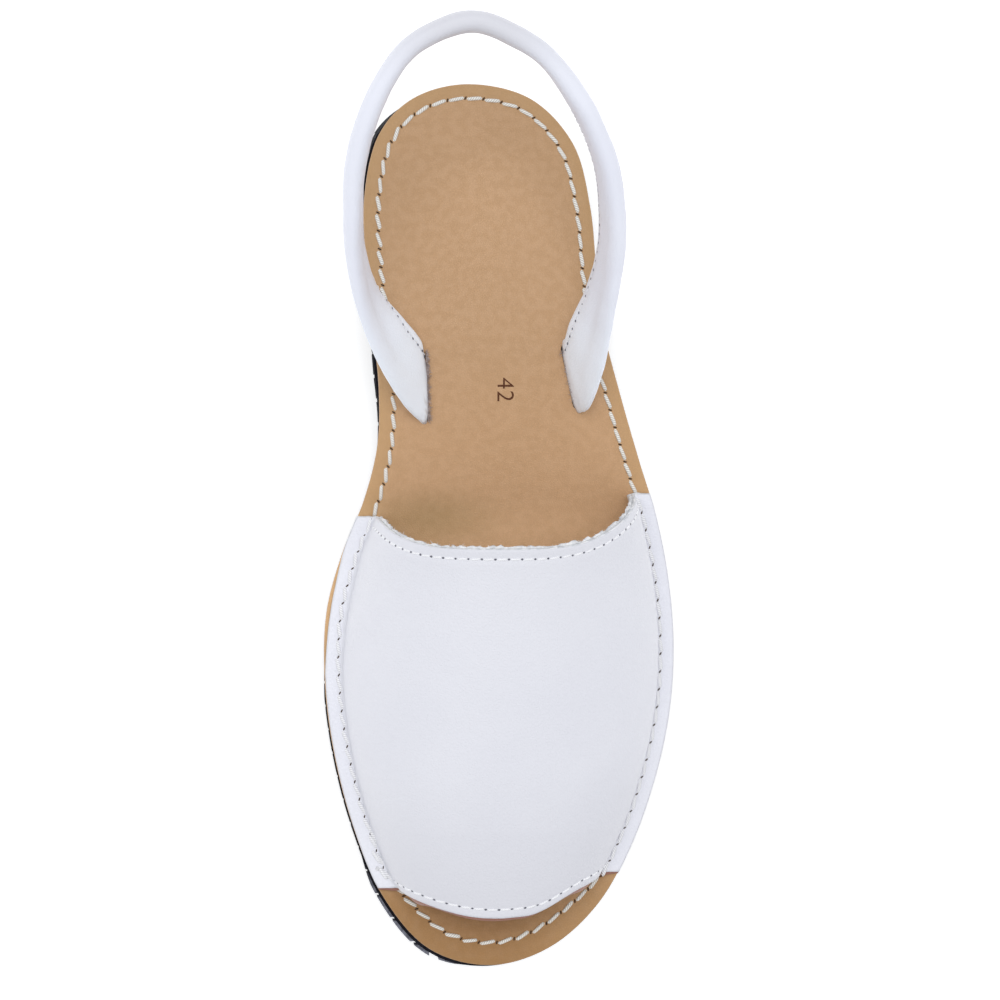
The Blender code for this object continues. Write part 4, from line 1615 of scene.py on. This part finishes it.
@dataclass
class HeelStrap:
    """The strap: folded white leather, flat at its roots and padded round the heel."""

    last: Last
    finishes: Finishes
    rise: float = 0.0690
    thickness: float = 0.0064
    root_thickness: float = 0.0036
    root_width: float = 0.0240
    squareness: float = 2.6
    steps: int = 9
    sides: int = 44
    seam_inset: float = 0.0031
    stitch_pitch: float = 0.0033
    upright_tuck: float = 0.0026
    thread_sink: float = 0.0001
    root_sections: int = 4
    raw_height: float = 0.0030
    slits: dict[Side, Slit] = field(
        default_factory=lambda: {
            Side.MEDIAL: Slit(0.340, -0.170, 2.5, 0.0030, 0.75, 460),
            Side.LATERAL: Slit(0.330, 0.257, 13.0, 0.0036, 0.30, 50),
        }
    )
    rows: tuple[StrapRow, ...] = rows(
        StrapRow,
        (0.289, -0.178, 0.233, 0.050, 0.364, -0.222, 0.301, 0.125, 0.00),
        (0.268, -0.228, 0.245, 0.138, 0.321, -0.295, 0.325, 0.300, 0.10),
        (0.234, -0.308, 0.282, 0.254, 0.265, -0.352, 0.336, 0.478, 0.30),
        (0.195, -0.349, 0.308, 0.377, 0.213, -0.378, 0.346, 0.609, 0.60),
        (0.157, -0.366, 0.308, 0.493, 0.169, -0.381, 0.340, 0.710, 0.85),
        (0.102, -0.360, 0.288, 0.609, 0.113, -0.374, 0.308, 0.812, 1.00),
        (0.047, -0.318, 0.222, 0.710, 0.057, -0.330, 0.238, 0.899, 1.00),
        (-0.001, -0.249, 0.136, 0.783, 0.008, -0.256, 0.132, 0.955, 1.00),
        (-0.024, -0.165, 0.033, 0.808, -0.018, -0.168, 0.033, 0.985, 1.00),
        (-0.0344, -0.066, -0.066, 0.820, -0.0304, -0.066, -0.066, 1.000, 1.00),
    )

    def knots(self, side: Side) -> list[tuple[Vector, Vector, float]]:
        """Returns lower edge, upper edge and thickness from inside the slit to the back of the heel."""
        slit = self.slits[side]
        middle = self.last.place(slit.along, slit.across)
        turn = math.radians(slit.turn)
        forward = Vector((math.sin(turn), -math.cos(turn)))
        ends = [middle + forward * sign * 0.5 * self.root_width for sign in (-1, 1)]
        slab, insole = self.last.slab_top, self.last.insole_top
        placed = []
        for surface, above in ((slab, 0.0009), (insole, 0.0), (insole, 0.0012)):
            low, high = (Vector((end.x, end.y, surface(end.y) + above)) for end in ends)
            placed.append((low, high, self.root_thickness))
        name = side.name.lower()
        for row in self.rows:
            low = self.last.place(row.low_along, getattr(row, f"low_{name}"))
            high = self.last.place(row.high_along, getattr(row, f"high_{name}"))
            low_z = insole(low.y) + row.low_rise * self.rise
            high_z = insole(high.y) + row.high_rise * self.rise
            thick = self.root_thickness + (self.thickness - self.root_thickness) * row.plump
            placed.append((Vector((*low, low_z)), Vector((*high, high_z)), thick))
        return placed

    def sections(self) -> list[Section]:
        """Returns cross sections at close steps, from inside the medial slit round to the lateral one."""
        knots = self.knots(Side.MEDIAL) + self.knots(Side.LATERAL)[-2::-1]
        last = len(knots) - 1
        edges = []
        for k in range(last):
            four = [knots[min(max(k + j, 0), last)] for j in (-1, 0, 1, 2)]
            steps = 2 if k < 2 or k >= last - 2 else self.steps
            for step in range(steps):
                edges.append([catmull_rom(*values, step / steps) for values in zip(*four)])
        edges.append(list(knots[-1]))
        centres = [(low + high) / 2.0 for low, high, _ in edges]
        placed = []
        for k, (low, high, thick) in enumerate(edges):
            run = centres[min(k + 1, len(centres) - 1)] - centres[max(k - 1, 0)]
            width = (high - low) / 2.0
            inward = run.cross(width).normalized() * thick / 2.0
            placed.append(Section(centres[k], width, inward))
        return placed

    def section_point(self, section: Section, angle: float) -> Vector:
        """Returns the point of a rounded section at an angle from its upper edge."""
        power = 2.0 / self.squareness
        up, out = math.cos(angle), math.sin(angle)
        up = math.copysign(abs(up) ** power, up)
        out = math.copysign(abs(out) ** power, out)
        return section.centre + section.width * up + section.inward * out

    def build_band(self) -> Object:
        """Returns the band."""
        sections = self.sections()
        count = len(sections) - 1
        bm = bmesh.new()
        bmesh.ops.create_grid(bm, x_segments=count, y_segments=self.sides, size=1.0)
        seam = bm.verts.layers.float.new("seam")
        spot = bm.verts.layers.float_vector.new("spot")
        raw, pale, shade = (bm.verts.layers.float.new(name) for name in ("raw", "pale", "shade"))
        for vert in bm.verts:
            number = round((vert.co.x + 1.0) / 2.0 * count)
            angle = math.pi * (vert.co.y + 1.0)
            vert[spot] = (number, angle, 0.0)
            vert.co = self.section_point(sections[number], angle)
        bmesh.ops.remove_doubles(bm, verts=bm.verts, dist=1e-7)
        bmesh.ops.holes_fill(bm, edges=[edge for edge in bm.edges if edge.is_boundary])
        bmesh.ops.recalc_face_normals(bm, faces=bm.faces)
        bm.normal_update()
        for vert in bm.verts:
            number, angle = round(vert[spot].x), vert[spot].y
            half_width = sections[number].width.length
            from_root = self.from_root(number, count)
            inset = self.inset_at(number / count)
            out, vert[seam] = self.relief(vert.co, angle, half_width, from_root, inset)
            # Painted light on the roots, which lie in shade.
            vert[pale] = smooth_step(0.42, 0.16, from_root)
            vert[shade] = 0.85 * smooth_step(0.72, 0.94, from_root)
            above = vert.co.z - self.last.insole_top(vert.co.y)
            ragged = self.raw_height * (1.0 + 0.7 * noise.noise(vert.co * 900.0))
            rawness = self.slits[Side.MEDIAL if number < count / 2 else Side.LATERAL].rawness
            vert[raw] = rawness * smooth_step(ragged, 0.25 * ragged, above) * (math.sin(angle) > 0.0)
            vert.co += vert.normal * out
        leather = [self.finishes.strap]
        return add_piece("heel_band", bm, leather, "heel_strap", sharp_angle=70.0)

    def from_root(self, number: int, count: int) -> float:
        """Returns how far a station lies from the nearer root, from 0 to 1 at the back."""
        return 1.0 - abs(2.0 * number / count - 1.0)

    def inset_at(self, share: float) -> float:
        """Returns the seam's distance from the lower edge, less where the medial half stands upright."""
        upright = smooth_step(0.10, 0.17, share) * smooth_step(0.62, 0.50, share)
        return self.seam_inset - self.upright_tuck * upright

    def relief(
        self, point: Vector, angle: float, half_width: float, from_root: float, seam_inset: float
    ) -> tuple[float, float]:
        """Works out the seam's groove and the leather's soft folds.

        Args:
            point: the smooth point.
            angle: its angle round the section, from the upper edge by the foot's side.
            half_width: half the band's width there.
            from_root: 0 at a root, 1 at the back of the heel.
            seam_inset: the seam's distance from the lower edge there.

        Returns:
            How far the leather lies out, and how strongly the seam shades it, from 0 to 1.
        """
        up = math.cos(angle)
        from_edge = (1.0 + math.copysign(abs(up) ** (2.0 / self.squareness), up)) * half_width
        inside = 1.0 if math.sin(angle) > 0.0 else 0.0
        groove = bell(from_edge, seam_inset, 0.0007) * inside
        unpadded = smooth_step(0.10, 0.22, from_root) * (1.0 - smooth_step(0.25, 0.55, from_root))
        fold = bell(from_edge, 1.15 * half_width, 0.0022) * inside * unpadded
        wave = waves(point, (70.0, 0.00022), (190.0, 0.00012))
        return wave - 0.00022 * groove - 0.00045 * fold, 0.25 * groove

    def seam_spots(self) -> list[Spot]:
        """Returns the starts, ends and normals of the fold's fine stitches, on the foot's side."""
        line, normals = [], []
        sections = self.sections()
        power = self.squareness - 1.0
        for number in range(self.root_sections, len(sections) - self.root_sections):
            width, inward = sections[number].width, sections[number].inward
            up = -1.0 + self.inset_at(number / (len(sections) - 1)) / width.length
            out = (1.0 - abs(up) ** self.squareness) ** (1.0 / self.squareness)
            line.append(sections[number].centre + width * up + inward * out)
            level = inward.normalized() * out**power / inward.length
            slope = width.normalized() * abs(up) ** power / width.length
            normals.append((level - slope).normalized())
        spots = spots_along(line, normals, self.stitch_pitch)
        sink = self.thread_sink
        return [(start - normal * sink, end - normal * sink, normal) for start, end, normal in spots]

    def build_seam(self) -> None:
        """Sews the fine row that closes the fold."""
        stitching = Stitching(
            "strap_stitches",
            "heel_strap",
            width=0.00030,
            pitch=self.stitch_pitch,
            length_share=0.60,
            hole_width=0.00105,
        )
        spots = self.seam_spots()
        holes = [(start, end - start, normal) for start, end, normal in spots]
        stitching.sew(spots, self.finishes.fine_thread)
        stitching.pierce(holes, self.finishes.soft_hole)

    def build_fibres(self) -> Object:
        """Returns the fuzz of the cut edge, along the foot's side of both roots."""
        chance = random.Random(7)
        bm = bmesh.new()
        for side in Side:
            # The third knot stands just above the insole.
            low, high, thick = self.knots(side)[2]
            run = (high - low).normalized()
            # Towards the foot, and roughly square to the root.
            inward = Vector((run.y, run.x, 0.0)).normalized() * side.value
            for _ in range(self.slits[side].fibres):
                root = low.lerp(high, chance.uniform(0.06, 0.98)) + inward * thick * 0.46
                root.z = self.last.insole_top(root.y) + chance.uniform(0.0, 0.0014)
                lean = inward * chance.uniform(0.2, 1.0) + run * chance.uniform(-0.9, 0.9)
                lean.z = chance.uniform(0.0, 0.7)
                length = chance.uniform(0.0005, 0.0016)
                add_fibre(bm, root, lean.normalized(), UP, length, chance)
        return add_piece("root_fibres", bm, [self.finishes.fuzz], sharp_angle=180.0)

    def build(self) -> None:
        """Makes the band, its seam and the fuzz of its cut edge."""
        self.build_band()
        self.build_seam()
        self.build_fibres()


# Rubber


@dataclass(frozen=True)
class RubberRow:
    """How far the slab stands out past the insole's edge on either side, and the lugs past the slab."""

    along: float
    medial: float
    lateral: float
    lug: float


@dataclass
class RubberSole:
    """The rubber: a slab with cross lugs, and a ribbed heel lift under its back."""

    last: Last
    finishes: Finishes
    slab_proud: float = 0.0003
    rows: tuple[RubberRow, ...] = rows(
        RubberRow,
        (0.02, 0.0000, 0.0000, 0.0001), (0.06, 0.0006, 0.0002, 0.0001),
        (0.27, 0.0006, 0.0003, 0.0001), (0.33, 0.0009, 0.0003, 0.0002),
        (0.37, 0.0002, 0.0003, 0.0001), (0.44, -0.0010, 0.0000, 0.0001),
        (0.62, -0.0010, 0.0000, 0.0001), (0.70, 0.0003, 0.0000, 0.0001),
        (0.88, 0.0005, 0.0000, 0.0002), (0.91, 0.0009, 0.0003, 0.0009),
        (0.95, 0.0011, 0.0003, 0.0011), (0.985, 0.0013, 0.0004, 0.0013),
        (0.995, 0.0014, 0.0004, 0.0007), (1.00, 0.0011, 0.0004, 0.0002),
    )
    slab_rows: int = 70
    lug_rows: int = 26
    lug_groove: float = 0.0012
    lug_climb: float = 0.0016
    channel_width: float = 0.0030
    channels: tuple[float, ...] = (-0.13, 0.20)
    smallest_lug: float = 5e-6
    breast_share: float = 0.300
    heel_flare: float = 0.0025
    rear_flare: float = 0.0004
    heel_ribs: int = 5
    rib_groove: float = 0.0007
    groove_share: float = 0.3
    tread_grooves: int = 5
    tread_depth: float = 0.0028
    tread_width: float = 0.0026

    def outline(self, lugs: bool) -> list[Vector]:
        """Returns the slab's or the lugs' edge, which shows most at the waist and beside the big toe."""
        medial = [(row.along, row.medial + lugs * row.lug) for row in self.rows]
        lateral = [(row.along, row.lateral + lugs * 0.3 * row.lug) for row in self.rows]

        def reach(along: float, normal: Vector) -> float:
            """Returns how far the rubber stands out."""
            outer = smooth_step(-0.35, 0.35, normal.x)
            return interpolate(along, medial) * (1.0 - outer) + interpolate(along, lateral) * outer

        return self.last.edge(reach)

    def build_slab(self) -> Object:
        """Returns the smooth slab under the insole."""
        bm = plan_sheet(self.outline(lugs=False))
        for k in range(1, self.slab_rows):
            cut_across(bm, (0.0, self.last.place(k / self.slab_rows, 0.0).y, 0.0))
        raise_sheet(bm, self.last.slab_bottom, self.last.slab_top)
        soften(bm, rim_edges(bm, top=True), 0.0005)
        return add_piece("sole_slab", bm, [self.finishes.rubber], "outsole", sharp_angle=50.0)

    def is_lug(self, face: bmesh.types.BMFace, first: float, pitch: float) -> bool:
        """Returns whether a patch of the plan is rubber, and not groove, channel, heel or a sliver."""
        # The pitch is negative, because the toe lies at -Y.
        centre = face.calc_center_bounds()
        place = (centre.y - first) / pitch
        in_groove = (place - math.floor(place)) * -pitch > -pitch - self.lug_groove
        offsets = [abs(centre.x - self.channel_x(share)) for share in self.channels]
        on_lug = not in_groove and min(offsets) > 0.5 * self.channel_width
        return on_lug and centre.y < first and face.calc_area() > self.smallest_lug

    def channel_x(self, share: float) -> float:
        """Returns the middle of a channel that runs along the sole."""
        return self.last.place(0.0, share).x

    def build_lugs(self) -> Object:
        """Returns the lugs, which climb a little up the slab's side."""
        outline = self.outline(lugs=True)
        first = self.last.shift.y - self.breast_share * self.last.insole_length - self.lug_groove
        pitch = (min(point.y for point in outline) - self.lug_groove - first) / self.lug_rows
        bm = plan_sheet(outline)
        for row in range(self.lug_rows):
            start = first + row * pitch
            for y in (start, start + pitch + self.lug_groove):
                cut_across(bm, (0.0, y, 0.0))
        for share in self.channels:
            for edge in (-0.5, 0.5):
                x = self.channel_x(share) + edge * self.channel_width
                cut_across(bm, (x, 0.0, 0.0), (1.0, 0.0, 0.0))
        spare = [face for face in bm.faces if not self.is_lug(face, first, pitch)]
        bmesh.ops.delete(bm, geom=spare, context="FACES")
        raise_sheet(bm, self.last.sole_lift, lambda y: self.last.slab_bottom(y) + self.lug_climb)
        soften(bm, rim_edges(bm, top=False) + rim_edges(bm, top=True), 0.00045)
        dust = bm.verts.layers.float.new("dust")
        for vert in bm.verts:
            raised = vert.co.z - self.last.sole_lift(vert.co.y)
            upper = 0.35 + 0.65 * smooth_step(0.0, self.last.lug_height, raised)
            vert[dust] = upper * smooth_step(0.88, 0.93, self.last.along(vert.co.y))
        return add_piece("sole_lugs", bm, [self.finishes.lug_rubber], "outsole", sharp_angle=35.0)

    def heel_ring(self, share: float, inset: float) -> list[Vector]:
        """Returns the heel's edge at a share of its height, flared towards the floor, most at the back."""
        proud = self.slab_proud - inset
        back = self.breast_share * self.last.insole_length
        corner = Vector((-0.90, 0.44))

        def flare(along: float, normal: Vector) -> float:
            """Returns how far the foot of the heel stands out, most at the medial rear corner."""
            share = clamp01(corner.dot(normal)) ** 4
            return proud + self.rear_flare + (self.heel_flare - self.rear_flare) * share

        ring = []
        for upright, flared in zip(self.last.edge(proud), self.last.edge(flare)):
            towards_back = clamp01(1.0 + (upright.y - self.last.shift.y) / back)
            point = upright.lerp(flared, (1.0 - share) * towards_back)
            height = share * (self.last.slab_bottom(point.y) - self.last.gap)
            ring.append(Vector((point.x, point.y, height)))
        return ring

    def build_heel(self) -> Object:
        """Returns the heel lift: a sheet extruded rib by rib, cut off at the breast and grooved below."""
        bm = plan_sheet(self.heel_ring(0.0, 0.0))
        (face,) = bm.faces
        bmesh.ops.reverse_faces(bm, faces=[face])
        top = bmesh.ops.extrude_face_region(bm, geom=[face])["geom"]
        cap = next(item for item in top if isinstance(item, bmesh.types.BMFace))
        steps = []
        for rib in range(self.heel_ribs):
            low, high = rib / self.heel_ribs, (rib + 1) / self.heel_ribs
            groove = high - self.groove_share / self.heel_ribs
            steps += [(groove, 0.0), (groove, self.rib_groove), (high, self.rib_groove), (high, 0.0)]
        steps[-3:] = [(1.0, 0.0)]
        order = self.ring_order(cap, self.heel_ring(0.0, 0.0))
        for number, (share, inset) in enumerate(steps):
            if number:
                (cap,) = bmesh.ops.extrude_discrete_faces(bm, faces=[cap])["faces"]
            ring = self.heel_ring(share, inset)
            for vert, place in zip(cap.verts, order):
                vert.co = ring[place]
        edge = self.last.shift.y - self.breast_share * self.last.insole_length
        cut_across(bm, (0.0, edge, 0.0), (0.0, -1.0, 0.0), clear=True)
        bmesh.ops.holes_fill(bm, edges=[item for item in bm.edges if item.is_boundary])
        bmesh.ops.recalc_face_normals(bm, faces=bm.faces)
        heel = add_piece("heel_lift", bm, [self.finishes.rubber], "heel", sharp_angle=35.0)
        self.groove_heel(heel)
        return heel

    def ring_order(self, cap: bmesh.types.BMFace, ring: Sequence[Vector]) -> list[int]:
        """Returns, for each corner of the cap, the number of the ring's point that lies there."""
        return [nearest(ring, vert.co) for vert in cap.verts]

    def groove_heel(self, heel: Object) -> None:
        """Cuts the tread's grooves across the heel's underside."""
        bm = bmesh.new()
        pitch = self.breast_share * self.last.insole_length / (self.tread_grooves + 1)
        for groove in range(self.tread_grooves):
            bar = bmesh.ops.create_cube(bm, size=1.0)["verts"]
            size = (2.0 * self.last.ball_width, self.tread_width, 2.0 * self.tread_depth)
            bmesh.ops.scale(bm, vec=size, verts=bar)
            bmesh.ops.translate(bm, vec=(0.0, self.last.shift.y - (groove + 1) * pitch, 0.0), verts=bar)
        carve(heel, bm, "groove_bars", 35.0)

    def build(self) -> None:
        """Makes the slab, the lugs and the heel."""
        self.build_slab()
        self.build_lugs()
        self.build_heel()


# Stage


@dataclass(frozen=True)
class Softbox:
    """A square light: its name, its place, its width and its power in watts."""

    name: str
    place: tuple[float, float, float]
    size: float
    watts: float


@dataclass
class Stage:
    """The pale floor, lit from below as a light table is, the soft lights and the camera."""

    last: Last
    floor_colour: Colour = (0.90, 0.90, 0.90)
    floor_glow: float = 0.40
    floor_reach: float = 4.0
    sky_colour: Colour = (0.965, 0.98, 1.0)
    sky_strength: float = 0.66
    aim_height: float = 0.02
    softboxes: tuple[Softbox, ...] = (
        Softbox("softbox_key", (-0.25, 0.50, 2.40), 1.6, 27.0),
        Softbox("softbox_fill", (0.50, -0.30, 2.20), 1.6, 4.0),
    )
    camera_aim: float = 0.0165
    camera_height: float = 0.9165
    camera_medial: float = 0.06564
    camera_from_heel: float = 0.13175
    lens: float = 101.64

    def build_floor(self) -> None:
        """Lays the floor."""
        bm = bmesh.new()
        bmesh.ops.create_grid(bm, x_segments=1, y_segments=1, size=self.floor_reach)
        mesh = as_mesh(bm, "floor")
        finish = bpy.data.materials.new("pale_floor")
        finish.use_nodes = True
        shader = finish.node_tree.nodes["Principled BSDF"]
        shader.inputs["Base Color"].default_value = (*self.floor_colour, 1.0)
        shader.inputs["Roughness"].default_value = 0.8
        shader.inputs["Emission Color"].default_value = (1.0, 1.0, 1.0, 1.0)
        shader.inputs["Emission Strength"].default_value = self.floor_glow
        mesh.materials.append(finish)
        add_object("floor", mesh)

    def build_lights(self) -> None:
        """Sets the pale surroundings and hangs the softboxes, which face the sandal."""
        world = bpy.data.worlds.new("studio")
        world.use_nodes = True
        background = world.node_tree.nodes["Background"]
        background.inputs["Color"].default_value = (*self.sky_colour, 1.0)
        background.inputs["Strength"].default_value = self.sky_strength
        bpy.context.scene.world = world
        for softbox in self.softboxes:
            light = bpy.data.lights.new(softbox.name, "AREA")
            light.size = softbox.size
            light.energy = softbox.watts
            holder = add_object(softbox.name, light)
            holder.location = softbox.place
            aim = UP * self.aim_height - holder.location
            holder.rotation_euler = aim.to_track_quat("-Z", "Y").to_euler()

    def build_camera(self) -> None:
        """Puts the camera where the photograph was taken from: high above, a little to the medial side."""
        camera = bpy.data.cameras.new("camera")
        camera.lens = self.lens
        camera.sensor_width = 36.0
        camera.clip_end = 20.0
        holder = add_object("camera", camera)
        place = self.last.shift - Vector((self.camera_medial, self.camera_from_heel))
        holder.location = (*place, self.camera_height)
        target = Vector((0.0, place.y, self.camera_aim))
        back = (holder.location - target).normalized()
        right = Vector((0.0, 1.0, 0.0)).cross(back).normalized()
        holder.rotation_euler = Matrix((right, back.cross(right), back)).transposed().to_euler()
        bpy.context.scene.camera = holder

    def build(self) -> None:
        """Makes the floor, the lights and the camera, and keeps the colours as they are lit."""
        self.build_floor()
        self.build_lights()
        self.build_camera()
        bpy.context.scene.view_settings.view_transform = "Standard"


def main() -> None:
    """Builds the sandal's pieces in a maker's order, then the stage."""
    logging.basicConfig(level=logging.INFO, format="%(message)s")
    last = Last()
    finishes = Finishes()
    vamp = Vamp(last, finishes)
    strap = HeelStrap(last, finishes)
    RubberSole(last, finishes).build()
    Insole(last, finishes, vamp, slits=strap.slits).build()
    vamp.build()
    strap.build()
    Stage(last).build()


if __name__ == "__main__":
    main()
